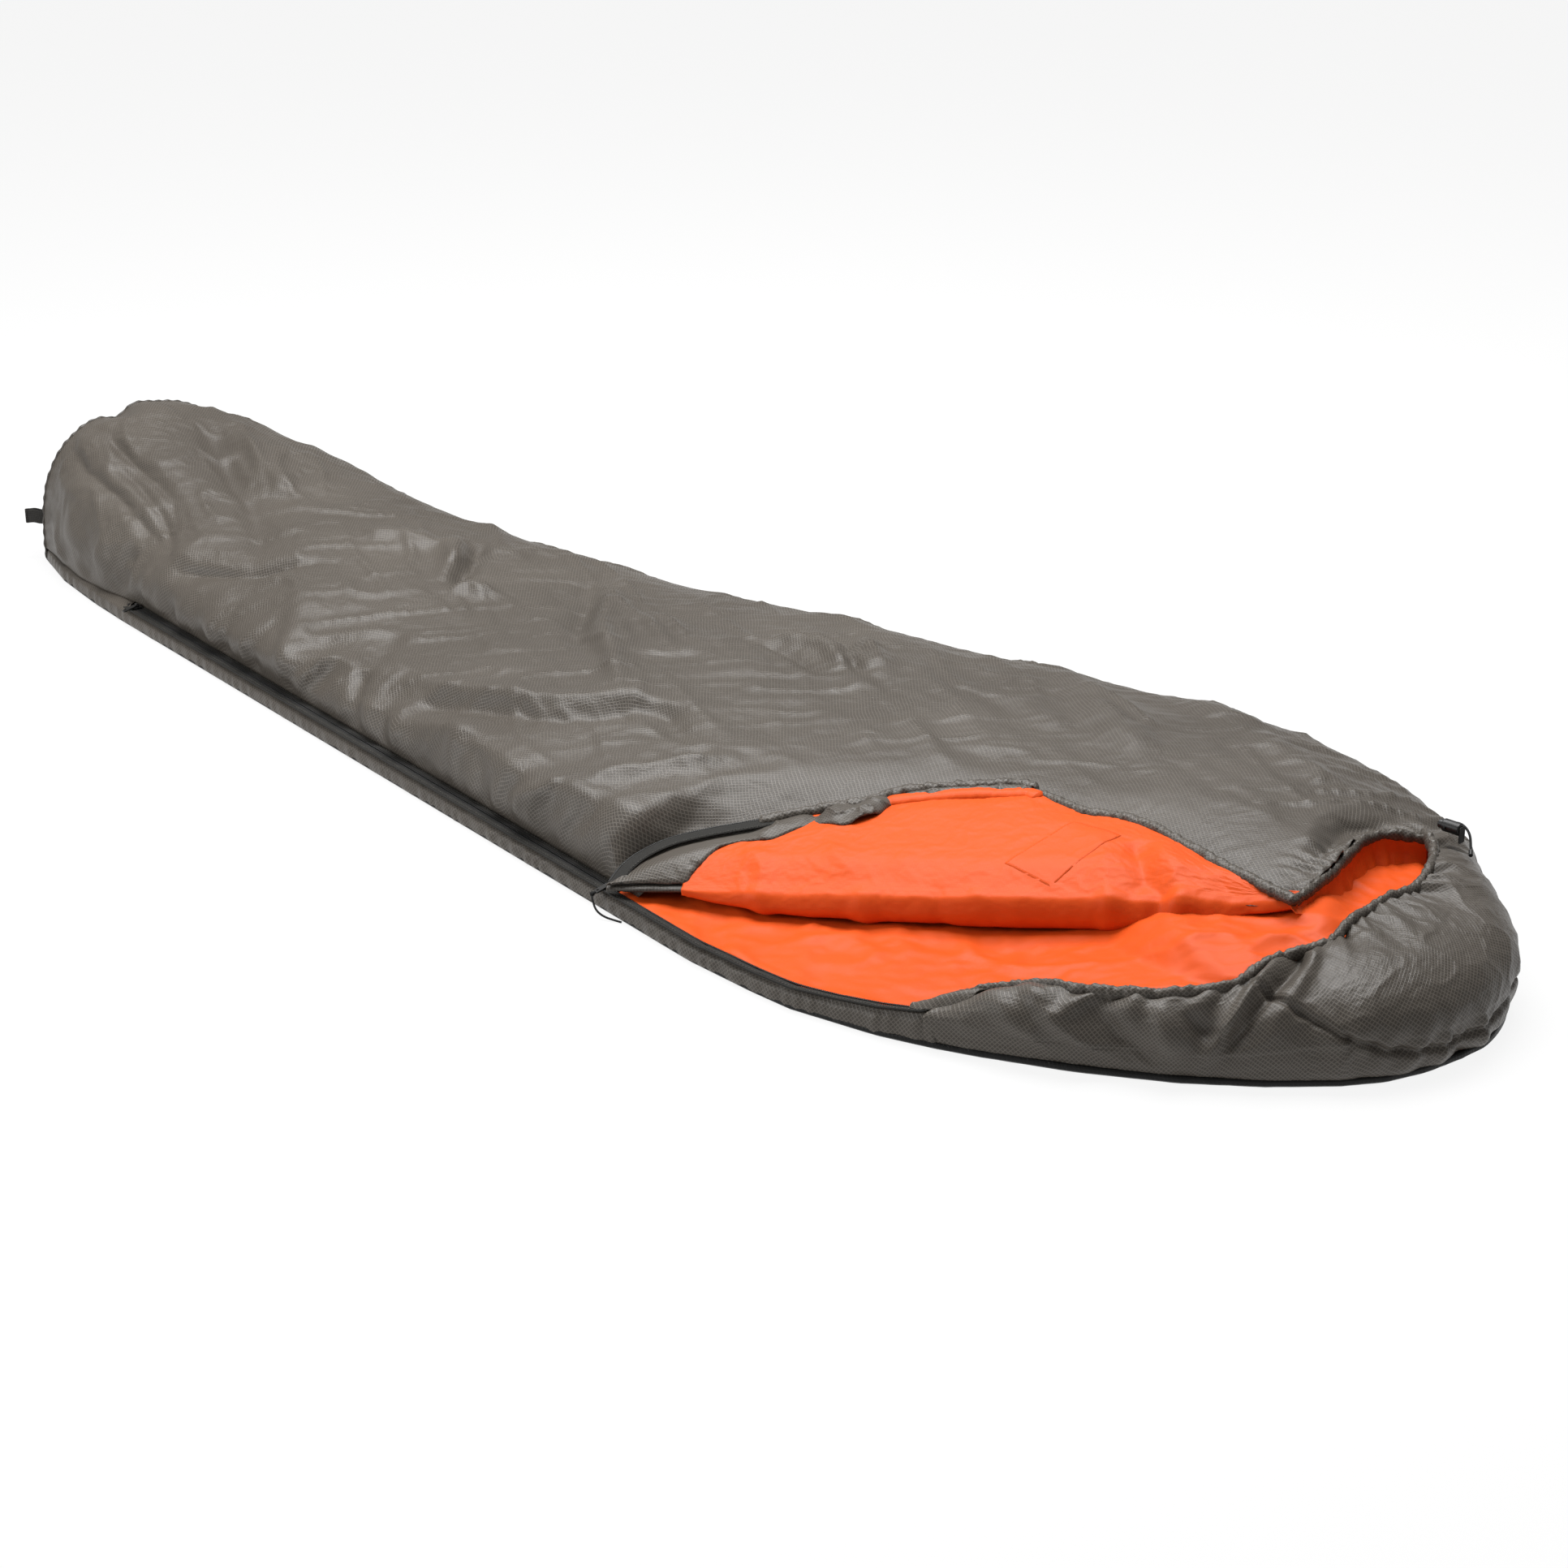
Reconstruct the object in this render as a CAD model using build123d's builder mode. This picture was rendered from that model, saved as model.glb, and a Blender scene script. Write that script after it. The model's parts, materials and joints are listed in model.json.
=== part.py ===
from build123d import *
import math
import os

# Mummy-shaped bivy sack, lying on the ground, all lengths in millimetres.
# +X runs from the foot to the head, +Z is up, the zip is on the -Y side.
# The origin is on the ground, on the centre line.

os.makedirs("parts", exist_ok=True)

# ---------------------------------------------------------------- driving dimensions
# half width of the ground outline along the sack
HALF_WIDTH = [(-1096, 162), (-1000, 195), (-900, 216), (-814, 230), (-591, 260.4), (-220, 311.1), (66, 350.1),
              (272, 378.2), (431, 399.9), (520, 404), (574, 404), (668, 386), (720, 369), (761, 352), (845, 311),
              (925, 261), (986, 210), (1032, 161), (1056, 125), (1070, 85), (1077, 40), (1079, 0)]
# height of the top panel's crest along the sack
CREST = [(-1096, 172), (-1085, 181), (-1000, 186), (-900, 163), (-800, 136), (-700, 119), (-500, 110), (-200, 108),
         (0, 106), (200, 106), (400, 108), (600, 110), (750, 108), (880, 104)]
NEAR_SETBACK = [(-1096, 2), (-950, 3), (-880, 8), (-800, 22), (880, 22)]     # top panel's near foot, inboard of outline
NEAR_FOOT_Z = [(-1096, 17.5), (-900, 19), (-800, 24), (880, 24)]            # height of that near foot
ARCH_POWER = 2.6          # squareness of the arched top panel
ARCH_STEPS = 14

FOOT_X = -1096.0          # foot end of the body tube
SHEET = 2.0               # groundsheet thickness
BASE_INSET = 22.0         # base filling, inboard of the outline
BASE_TOP = 14.0           # top of the base wadding
LINING_TOP = 16.4         # top of the base lining

SHELL = (0.0, 2.0)        # outer fabric, depth below the outer surface
WADDING = (2.6, 9.0)      # light insulation
LINING = (9.6, 11.6)      # inner fabric

ZIP_Z = 20.3              # centre height of the zip coil
ZIP_INSET = 11.5          # zip centre line, inboard of the outline
COIL_R = 1.2
COIL_GAP = 1.0            # between the two coil halves
TAPE_T = 0.8
TRACK_X0, TRACK_Y0 = -814.0, -230.0
TRACK_SLOPE = -0.1365     # the near edge is straight along the zip
ZIP_START_X = -805.0
MAIN_SLIDER_X = 280.0
FOOT_SLIDER_X = -788.0

FOLD_A = (300.0, -385.0, 30.0)   # fold line of the turned-back corner, zip end
FOLD_B = (880.0, -40.0, 95.0)    # fold line, face opening end
FOLD_TILT = 10.0                 # rise of the folded flap away from the opening, degrees
FLAP_TIP = (395.0, 188.0)        # flap's free corner: along the fold line, away from it
FLAP_START = 88.0                # stiff part of the flap starts this far from the slider

HOOD_C = (850.0, 0.0)            # the hood is laid out radially about this point
# azimuth: ground outline radius, hem radius, hem height
HOOD = [(-109, 379.5, 352, 42), (-98, 334, 298, 78), (-86, 299, 255, 86), (-73, 269, 222, 90), (-50, 246, 140, 98),
        (-25, 236, 100, 106), (0, 228, 90, 110), (25, 236, 92, 110), (45, 240, 108, 108), (65, 258, 142, 104),
        (82, 286, 194, 100)]
HOOD_POWER = 2.2
HEM_R = 6.5
CORD_R = 1.3

LOCK = (914.0, 172.0, 118.0)     # cord lock barrel centre
LOCK_R, LOCK_BORE, PLUNGER_R = 6.5, 5.0, 4.75
LOCK_TRAVEL = 4.0

PULL_REST = 15.0                 # pull tabs droop this much below level


def table(rows, x):
    if x <= rows[0][0]:
        return rows[0][1]
    for (x0, v0), (x1, v1) in zip(rows, rows[1:]):
        if x <= x1:
            return v0 + (v1 - v0) * (x - x0) / (x1 - x0)
    return rows[-1][1]


def half_width(x):
    return table(HALF_WIDTH, x)


def crest(x):
    return table(CREST, x)


def track_y(x, n):
    # a point n inboard of the straight near edge
    c = math.cos(math.atan(TRACK_SLOPE))
    return TRACK_Y0 + TRACK_SLOPE * (x - TRACK_X0) + n / c


# fold line frame
AX, AY, AZ = FOLD_A
FOLD_LEN = math.hypot(FOLD_B[0] - AX, FOLD_B[1] - AY)
UX, UY = (FOLD_B[0] - AX) / FOLD_LEN, (FOLD_B[1] - AY) / FOLD_LEN
FOLD_RISE = (FOLD_B[2] - AZ) / FOLD_LEN
FOLD_COS = 1.0 / math.hypot(1.0, FOLD_RISE)
TAN_TILT = math.tan(math.radians(FOLD_TILT))
FLAP_ANGLE = math.atan2(FLAP_TIP[1], FLAP_TIP[0])


def fold_sd(x, y):
    return (x - AX) * UX + (y - AY) * UY, -(x - AX) * UY + (y - AY) * UX


def fold_limit(x, y):
    # the top panel stays under the folded flap, and rises freely beyond the flap's zip edge
    s, d = fold_sd(x, y)
    z = AZ + FOLD_RISE * s + TAN_TILT * d / FOLD_COS
    beyond = d * math.cos(FLAP_ANGLE) - s * math.sin(FLAP_ANGLE)
    return z - 0.8 + 1.2 * max(0.0, beyond - 45.0)


def arch_z(x, y, depth):
    w = half_width(x)
    a = w - table(NEAR_SETBACK, x) - depth
    b = w - depth
    h = crest(x) - depth
    foot, half = (table(NEAR_FOOT_Z, x), a) if y < 0 else (SHEET + 0.6, b)
    q = min(1.0, abs(y) / half)
    return foot + (h - foot) * max(0.0, 1.0 - q ** ARCH_POWER) ** (1.0 / ARCH_POWER)


def arch_line(x, depth):
    # outer or inner line of the arched top panel at station x, near side to far side
    w = half_width(x)
    a = w - table(NEAR_SETBACK, x) - depth
    b = w - depth
    half = ARCH_STEPS // 2
    folded = x > AX
    pts = []
    for i in range(ARCH_STEPS + 1):
        t = math.pi * i / ARCH_STEPS
        k = abs(math.cos(t)) ** (2.0 / ARCH_POWER)
        if i <= half:
            if folded:
                start = max(AY + (x - AX) * UY / UX + 6.0, 0.5 - (w - table(NEAR_SETBACK, x)))
                y = start * (1.0 - i / half) ** 0.9
            else:
                y = -a * k
        else:
            y = b * k
        z = arch_z(x, y, depth)
        if folded and i < half:
            dip = 0.8 * math.sin(math.pi * i / half)      # a slack panel, never dead straight
            z = max(28.8, min(arch_z(x, y, 0.0), fold_limit(x, y)) - dip) - depth
        elif folded:
            z = min(z, fold_limit(x, y) - depth)
        pts.append((y, z))
    return pts


STATIONS = [FOOT_X + 2, -1050, -1000, -950, -900, -850, -800, -620, -400, -150, 100, 230, 285, 320, 350, 400, 450, 500, 550,
            610, 680, 750, 810, 866]


def station_plane(x):
    return Plane(origin=(x, 0, 0), x_dir=(0, 1, 0), z_dir=(1, 0, 0))


def outline(inset=0.0, x_from=FOOT_X):
    xs = [v[0] for v in HALF_WIDTH]
    near = [(x, -half_width(x)) for x in xs]
    far = [(x, half_width(x)) for x in reversed(xs[:-1])]
    return near + far


# ---------------------------------------------------------------- base
with BuildPart() as groundsheet:
    with BuildSketch():
        with BuildLine():
            Polyline(*outline(), close=True)
        make_face()
    extrude(amount=SHEET)
groundsheet.part.label = "groundsheet"
export_step(groundsheet.part, "parts/groundsheet.step")

with BuildPart() as base_wadding:
    with BuildSketch(Plane.XY.offset(SHEET + 0.3)):
        with BuildLine():
            Polyline(*outline(), close=True)
        make_face()
        offset(amount=-BASE_INSET, kind=Kind.INTERSECTION)
    extrude(amount=BASE_TOP - SHEET - 0.3)
base_wadding.part.label = "base_wadding"
export_step(base_wadding.part, "parts/base_wadding.step")

with BuildPart() as base_lining:
    with BuildSketch(Plane.XY.offset(BASE_TOP + 0.4)):
        with BuildLine():
            Polyline(*outline(), close=True)
        make_face()
        offset(amount=-BASE_INSET, kind=Kind.INTERSECTION)
    extrude(amount=LINING_TOP - BASE_TOP - 0.4)
base_lining.part.label = "base_lining"
export_step(base_lining.part, "parts/base_lining.step")

# low wall of shell fabric between the groundsheet and the zip
STRIP_X = [-1088, -1000, -900, -814, -591, -220, 66, 272, 431, 520, 574, 640, 690, 716]
with BuildPart() as side_strip:
    with BuildSketch(Plane.XY.offset(SHEET + 0.3)):
        with BuildLine():
            Polyline(*[(x, -half_width(x) + 0.3) for x in STRIP_X],
                     *[(x, -half_width(x) + 5.6) for x in reversed(STRIP_X)], close=True)
        make_face()
    extrude(amount=14.0)
side_strip.part.label = "side_strip"
export_step(side_strip.part, "parts/side_strip.step")


# ---------------------------------------------------------------- arched top panel, three layers
def arch_section(x, layer):
    outer = arch_line(x, layer[0])
    inner = arch_line(x, layer[1])
    return outer + inner[::-1]


with BuildPart() as top_shell:
    for x in STATIONS:
        with BuildSketch(station_plane(x)):
            with BuildLine():
                Polyline(*arch_section(x, SHELL), close=True)
            make_face()
    loft(ruled=True)
top_shell.part.label = "top_shell"
export_step(top_shell.part, "parts/top_shell.step")

with BuildPart() as top_wadding:
    for x in STATIONS:
        with BuildSketch(station_plane(x)):
            with BuildLine():
                Polyline(*arch_section(x, WADDING), close=True)
            make_face()
    loft(ruled=True)
top_wadding.part.label = "top_wadding"
export_step(top_wadding.part, "parts/top_wadding.step")

with BuildPart() as top_lining:
    for x in STATIONS:
        with BuildSketch(station_plane(x)):
            with BuildLine():
                Polyline(*arch_section(x, LINING), close=True)
            make_face()
    loft(ruled=True)
top_lining.part.label = "top_lining"
export_step(top_lining.part, "parts/top_lining.step")

# ---------------------------------------------------------------- foot end
foot_outer = arch_line(FOOT_X, 0.0)
with BuildPart() as foot_panel:
    with BuildSketch(station_plane(FOOT_X - 7.0)):
        with BuildLine():
            Polyline((foot_outer[0][0], 0.0), *foot_outer, (foot_outer[-1][0], 0.0), close=True)
        make_face()
    extrude(amount=3.6)
foot_panel.part.label = "foot_panel"
export_step(foot_panel.part, "parts/foot_panel.step")

# bound seam between the foot panel and the body tube
seam_in = arch_line(FOOT_X, 6.0)
with BuildPart() as foot_binding:
    with BuildSketch(station_plane(FOOT_X - 3.1)):
        with BuildLine():
            Polyline(*foot_outer, *seam_in[::-1], close=True)
        make_face()
    extrude(amount=4.6)
foot_binding.part.label = "foot_binding"
export_step(foot_binding.part, "parts/foot_binding.step")

foot_in = arch_line(FOOT_X + 8, 20.0)
with BuildPart() as foot_lining:
    with BuildSketch(station_plane(FOOT_X + 8.0)):
        with BuildLine():
            Polyline((foot_in[0][0], LINING_TOP + 0.6), *[p for p in foot_in if p[1] > LINING_TOP + 1.2],
                     (foot_in[-1][0], LINING_TOP + 0.6), close=True)
        make_face()
    extrude(amount=1.6)
foot_lining.part.label = "foot_lining"
export_step(foot_lining.part, "parts/foot_lining.step")

# webbing hang loop at the near foot corner, an eye with its hole vertical
LOOP_DIR = math.degrees(math.atan2(-0.56, -0.83))
loop_plane = Plane(Location((-1103.6, -143.0, 46.0), (0, 0, LOOP_DIR)))
with BuildPart() as hang_loop:
    with BuildSketch(loop_plane):
        with Locations((16.0, 0.0)):
            SlotCenterToCenter(24.0, 9.6)
            SlotCenterToCenter(24.0, 7.0, mode=Mode.SUBTRACT)
        with Locations((-1.5, 0.0)):
            Rectangle(20.0, 14.0, mode=Mode.SUBTRACT)
        with Locations((5.6, 0.0)):
            Rectangle(6.0, 9.6)
    extrude(amount=18.0)
hang_loop.part.label = "hang_loop"
export_step(hang_loop.part, "parts/hang_loop.step")


# ---------------------------------------------------------------- hood, three layers
def hood_plane(phi):
    c, s = math.cos(math.radians(phi)), math.sin(math.radians(phi))
    return Plane(origin=(HOOD_C[0], HOOD_C[1], 0), x_dir=(c, s, 0), z_dir=(s, -c, 0))


def hood_line(row, depth):
    phi, big, hem, z = row
    start = hem + HEM_R + 5.5
    k = min(1.0, (big - start) / 30.0)
    d = depth * k
    pts = []
    for i in range(9):
        t = 0.5 * math.pi * i / 8
        r = start + (big - d - start) * abs(math.cos(t)) ** (2.0 / HOOD_POWER)
        pts.append((r, SHEET + 0.6 + (z - d - SHEET - 0.6) * abs(math.sin(t)) ** (2.0 / HOOD_POWER)))
    return pts


def hood_section(row, layer):
    return hood_line(row, layer[0]) + hood_line(row, layer[1])[::-1]


with BuildPart() as hood_shell:
    for row in HOOD:
        with BuildSketch(hood_plane(row[0])):
            with BuildLine():
                Polyline(*hood_section(row, SHELL), close=True)
            make_face()
    loft(ruled=True)
hood_shell.part.label = "hood_shell"
export_step(hood_shell.part, "parts/hood_shell.step")

with BuildPart() as hood_wadding:
    for row in HOOD:
        with BuildSketch(hood_plane(row[0])):
            with BuildLine():
                Polyline(*hood_section(row, WADDING), close=True)
            make_face()
    loft(ruled=True)
hood_wadding.part.label = "hood_wadding"
export_step(hood_wadding.part, "parts/hood_wadding.step")

with BuildPart() as hood_lining:
    for row in HOOD:
        with BuildSketch(hood_plane(row[0])):
            with BuildLine():
                Polyline(*hood_section(row, LINING), close=True)
            make_face()
    loft(ruled=True)
hood_lining.part.label = "hood_lining"
export_step(hood_lining.part, "parts/hood_lining.step")


# ---------------------------------------------------------------- drawcord casings round the face opening
def soft_radii(points, least):
    # arc radii of 0.45 of the shorter run over the tangent of half the turn
    vs = [Vector(*p) for p in points]
    radii = []
    for a, b, c in zip(vs, vs[1:], vs[2:]):
        turn = (b - a).get_angle(c - b)
        run = min((b - a).length, (c - b).length)
        radii.append(max(least, min(400.0, 0.45 * run / math.tan(math.radians(turn) / 2))))
    return radii


def hood_hem_point(row):
    phi, big, hem, z = row
    a = math.radians(phi)
    return (HOOD_C[0] + hem * math.cos(a), HOOD_C[1] + hem * math.sin(a), z)


hem_route = [hood_hem_point(row) for row in HOOD]
with BuildPart() as hood_hem:
    with BuildLine():
        hem_path = FilletPolyline(*hem_route, radius=soft_radii(hem_route, 8.0))
    with BuildSketch(Plane(origin=hem_path @ 0, z_dir=hem_path % 0)):
        Circle(HEM_R)
        Circle(HEM_R - 1.6, mode=Mode.SUBTRACT)
    sweep()
hood_hem.part.label = "hood_hem"
export_step(hood_hem.part, "parts/hood_hem.step")

with BuildPart() as hood_drawcord:
    with BuildLine():
        hem_path = FilletPolyline(*hem_route, radius=soft_radii(hem_route, 8.0))
    with BuildSketch(Plane(origin=hem_path @ 0, z_dir=hem_path % 0)):
        Circle(CORD_R)
    sweep()
hood_drawcord.part.label = "hood_drawcord"
export_step(hood_drawcord.part, "parts/hood_drawcord.step")

collar_route = [(881.5, -22.0, 97.0), (879.0, 30.0, 100.0), (874.0, 80.0, 103.0), (871.0, 124.0, 103.0),
                (871.5, 166.0, 102.0)]
collar_route = [(x + 3.5, y, z) for x, y, z in collar_route]
with BuildPart() as collar_hem:
    with BuildLine():
        collar_path = FilletPolyline(*collar_route, radius=soft_radii(collar_route, 8.0))
    with BuildSketch(Plane(origin=collar_path @ 0, z_dir=collar_path % 0)):
        Circle(5.6)
        Circle(4.0, mode=Mode.SUBTRACT)
    sweep()
collar_hem.part.label = "collar_hem"
export_step(collar_hem.part, "parts/collar_hem.step")

with BuildPart() as collar_drawcord:
    with BuildLine():
        collar_path = FilletPolyline(*collar_route, radius=soft_radii(collar_route, 8.0))
    with BuildSketch(Plane(origin=collar_path @ 0, z_dir=collar_path % 0)):
        Circle(CORD_R)
    sweep()
collar_drawcord.part.label = "collar_drawcord"
export_step(collar_drawcord.part, "parts/collar_drawcord.step")

# ---------------------------------------------------------------- zip
# near edge stations of the lower tape: x, height of the tape's underside
LOWER_TAPE = [(ZIP_START_X, 19.9), (450.0, 19.9), (520.0, 20.0), (574.0, 21.0), (620.0, 23.5), (668.0, 28.0), (700.0, 32.0),
              (714.0, 35.0)]


def edge_y(x, n):
    if x <= 450.0:
        return track_y(x, n)
    return -half_width(x) + n + (1.5 if x > 600 else 0.0)


with BuildPart() as zip_tape_lower:
    for x, z in LOWER_TAPE:
        with BuildSketch(station_plane(x)):
            with BuildLine():
                Polyline((edge_y(x, 0.6), z), (edge_y(x, 8.2), z), (edge_y(x, 8.2), z + TAPE_T), (edge_y(x, 0.6), z + TAPE_T),
                         close=True)
            make_face()
    loft(ruled=True)
zip_tape_lower.part.label = "zip_tape_lower"
export_step(zip_tape_lower.part, "parts/zip_tape_lower.step")

COIL_N = ZIP_INSET - COIL_GAP / 2 - COIL_R
lower_coil_route = [(x, edge_y(x, COIL_N + 0.7), z + TAPE_T / 2 + 0.0) for x, z in LOWER_TAPE]
lower_coil_route[0] = (ZIP_START_X, track_y(ZIP_START_X, COIL_N), ZIP_Z)
lower_coil_route[1] = (450.0, track_y(450.0, COIL_N), ZIP_Z)
with BuildPart() as zip_coil_lower:
    with BuildLine():
        coil_path = FilletPolyline(*lower_coil_route, radius=soft_radii(lower_coil_route, 8.0))
    with BuildSketch(Plane(origin=coil_path @ 0, z_dir=coil_path % 0)):
        Circle(COIL_R)
    sweep()
zip_coil_lower.part.label = "zip_coil_lower"
export_step(zip_coil_lower.part, "parts/zip_coil_lower.step")

UPPER_END_X = 292.0
with BuildPart() as zip_tape_upper:
    with BuildSketch(Plane.XY.offset(ZIP_Z - TAPE_T / 2)):
        with BuildLine():
            Polyline((ZIP_START_X, track_y(ZIP_START_X, 14.8)), (UPPER_END_X, track_y(UPPER_END_X, 14.8)),
                     (UPPER_END_X, track_y(UPPER_END_X, 25.0)), (ZIP_START_X, track_y(ZIP_START_X, 25.0)), close=True)
        make_face()
    extrude(amount=TAPE_T)
zip_tape_upper.part.label = "zip_tape_upper"
export_step(zip_tape_upper.part, "parts/zip_tape_upper.step")

UP_N = ZIP_INSET + COIL_GAP / 2 + COIL_R
with BuildPart() as zip_coil_upper:
    with BuildLine():
        up_path = Line((ZIP_START_X, track_y(ZIP_START_X, UP_N), ZIP_Z), (UPPER_END_X, track_y(UPPER_END_X, UP_N), ZIP_Z))
    with BuildSketch(Plane(origin=up_path @ 0, z_dir=up_path % 0)):
        Circle(COIL_R)
    sweep()
zip_coil_upper.part.label = "zip_coil_upper"
export_step(zip_coil_upper.part, "parts/zip_coil_upper.step")

T_DIR = Vector(1, TRACK_SLOPE, 0).normalized()


def track_plane(x, z=0.0):
    # local x along the zip towards the head, local y inboard
    return Plane(origin=(x, track_y(x, ZIP_INSET), z), x_dir=T_DIR, z_dir=(0, 0, 1))


with BuildPart() as zip_foot_stop:
    with BuildSketch(track_plane(ZIP_START_X - 2.6, 18.6)):
        RectangleRounded(4.0, 7.0, 0.8)
    extrude(amount=3.4)
zip_foot_stop.part.label = "zip_foot_stop"
export_step(zip_foot_stop.part, "parts/zip_foot_stop.step")

with BuildPart() as zip_head_stop:
    with BuildSketch(Plane(Location((718.0, edge_y(718.0, 9.0), 33.6), (0, 0, 22)))):
        RectangleRounded(4.0, 5.0, 0.8)
    extrude(amount=3.4)
zip_head_stop.part.label = "zip_head_stop"
export_step(zip_head_stop.part, "parts/zip_head_stop.step")

# rounded facing patch that covers the zip's head end
with BuildPart() as zip_garage:
    with BuildSketch(Plane(Location((704.0, edge_y(704.0, 21.5), 37.4), (0, 0, 22)))):
        RectangleRounded(44.0, 18.0, 6.0)
    extrude(amount=1.0)
zip_garage.part.label = "zip_garage"
export_step(zip_garage.part, "parts/zip_garage.step")


# ---------------------------------------------------------------- sliders and pulls
def slider_sketches(x, post_x):
    return track_plane(x), post_x


PIN_Z = 26.0
PIN_R = 0.8
EYE_R = 0.9
KNUCKLE_R = 1.9
TAB_LEN = 20.0

with BuildPart() as main_slider_body:
    with BuildSketch(track_plane(MAIN_SLIDER_X, 17.0)):
        RectangleRounded(11.0, 10.0, 2.2)
    extrude(amount=1.4)
    with BuildSketch(track_plane(MAIN_SLIDER_X, 22.2)):
        RectangleRounded(11.0, 10.0, 2.2)
    extrude(amount=1.4)
    with BuildSketch(track_plane(MAIN_SLIDER_X, 18.4)):
        with Locations((3.0, 0.0)):
            Rectangle(3.6, 0.4)
    extrude(amount=3.8)
    with BuildSketch(track_plane(MAIN_SLIDER_X, 18.4)):
        with Locations((0, 4.5), (0, -4.5)):
            Rectangle(6.6, 0.9)
    extrude(amount=0.9)
    with BuildSketch(track_plane(MAIN_SLIDER_X, 21.3)):
        with Locations((0, 4.5), (0, -4.5)):
            Rectangle(6.6, 0.9)
    extrude(amount=0.9)
    with BuildSketch(track_plane(MAIN_SLIDER_X, 23.6)):
        with Locations((3.6, 0), (-3.6, 0)):
            Rectangle(1.4, 2.2)
    extrude(amount=3.5)
    with BuildSketch(Plane(origin=track_plane(MAIN_SLIDER_X, PIN_Z).from_local_coords(Vector(-3.6, 0, 0)), z_dir=T_DIR)):
        Circle(PIN_R)
    extrude(amount=7.2)
main_slider_body.part.label = "main_slider_body"
export_step(main_slider_body.part, "parts/main_slider_body.step")

with BuildPart() as foot_slider_body:
    with BuildSketch(track_plane(FOOT_SLIDER_X, 17.0)):
        RectangleRounded(11.0, 10.0, 2.2)
    extrude(amount=1.4)
    with BuildSketch(track_plane(FOOT_SLIDER_X, 22.2)):
        RectangleRounded(11.0, 10.0, 2.2)
    extrude(amount=1.4)
    with BuildSketch(track_plane(FOOT_SLIDER_X, 18.4)):
        with Locations((-3.0, 0.0)):
            Rectangle(3.6, 0.4)
    extrude(amount=3.8)
    with BuildSketch(track_plane(FOOT_SLIDER_X, 18.4)):
        with Locations((0, 4.5), (0, -4.5)):
            Rectangle(6.6, 0.9)
    extrude(amount=0.9)
    with BuildSketch(track_plane(FOOT_SLIDER_X, 21.3)):
        with Locations((0, 4.5), (0, -4.5)):
            Rectangle(6.6, 0.9)
    extrude(amount=0.9)
    with BuildSketch(track_plane(FOOT_SLIDER_X, 23.6)):
        with Locations((3.6, 0), (-3.6, 0)):
            Rectangle(1.4, 2.2)
    extrude(amount=3.5)
    with BuildSketch(Plane(origin=track_plane(FOOT_SLIDER_X, PIN_Z).from_local_coords(Vector(-3.6, 0, 0)), z_dir=T_DIR)):
        Circle(PIN_R)
    extrude(amount=7.2)
foot_slider_body.part.label = "foot_slider_body"
export_step(foot_slider_body.part, "parts/foot_slider_body.step")


def pull_plane(x):
    # plane of a pull tab through its pin: local x along the zip, local y outboard along the tab
    base = track_plane(x, PIN_Z)
    drop = math.radians(PULL_REST)
    out = -base.y_dir * math.cos(drop) - Vector(0, 0, 1) * math.sin(drop)
    return Plane(origin=base.origin, x_dir=-T_DIR, z_dir=(-T_DIR).cross(out))


with BuildPart() as main_pull_tab:
    with BuildSketch(pull_plane(MAIN_SLIDER_X).offset(-0.7)):
        with Locations((0, 2.2)):
            Rectangle(4.4, 3.4)
        with Locations((0, 3.2 + (TAB_LEN - 3.2) / 2)):
            RectangleRounded(6.4, TAB_LEN - 3.2, 1.4)
        with Locations((0, TAB_LEN - 3.6)):
            Circle(1.5, mode=Mode.SUBTRACT)
    extrude(amount=1.4)
    with BuildSketch(Plane(origin=track_plane(MAIN_SLIDER_X, PIN_Z).from_local_coords(Vector(-2.2, 0, 0)), z_dir=T_DIR)):
        Circle(KNUCKLE_R)
    extrude(amount=4.4)
    with BuildSketch(Plane(origin=track_plane(MAIN_SLIDER_X, PIN_Z).from_local_coords(Vector(-2.6, 0, 0)), z_dir=T_DIR)):
        Circle(EYE_R)
    extrude(amount=5.2, mode=Mode.SUBTRACT)
main_pull_tab.part.label = "main_pull_tab"
export_step(main_pull_tab.part, "parts/main_pull_tab.step")

with BuildPart() as foot_pull_tab:
    with BuildSketch(pull_plane(FOOT_SLIDER_X).offset(-0.7)):
        with Locations((0, 2.2)):
            Rectangle(4.4, 3.4)
        with Locations((0, 3.2 + (TAB_LEN - 3.2) / 2)):
            RectangleRounded(6.4, TAB_LEN - 3.2, 1.4)
        with Locations((0, TAB_LEN - 3.6)):
            Circle(1.5, mode=Mode.SUBTRACT)
    extrude(amount=1.4)
    with BuildSketch(Plane(origin=track_plane(FOOT_SLIDER_X, PIN_Z).from_local_coords(Vector(-2.2, 0, 0)), z_dir=T_DIR)):
        Circle(KNUCKLE_R)
    extrude(amount=4.4)
    with BuildSketch(Plane(origin=track_plane(FOOT_SLIDER_X, PIN_Z).from_local_coords(Vector(-2.6, 0, 0)), z_dir=T_DIR)):
        Circle(EYE_R)
    extrude(amount=5.2, mode=Mode.SUBTRACT)
foot_pull_tab.part.label = "foot_pull_tab"
export_step(foot_pull_tab.part, "parts/foot_pull_tab.step")

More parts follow.
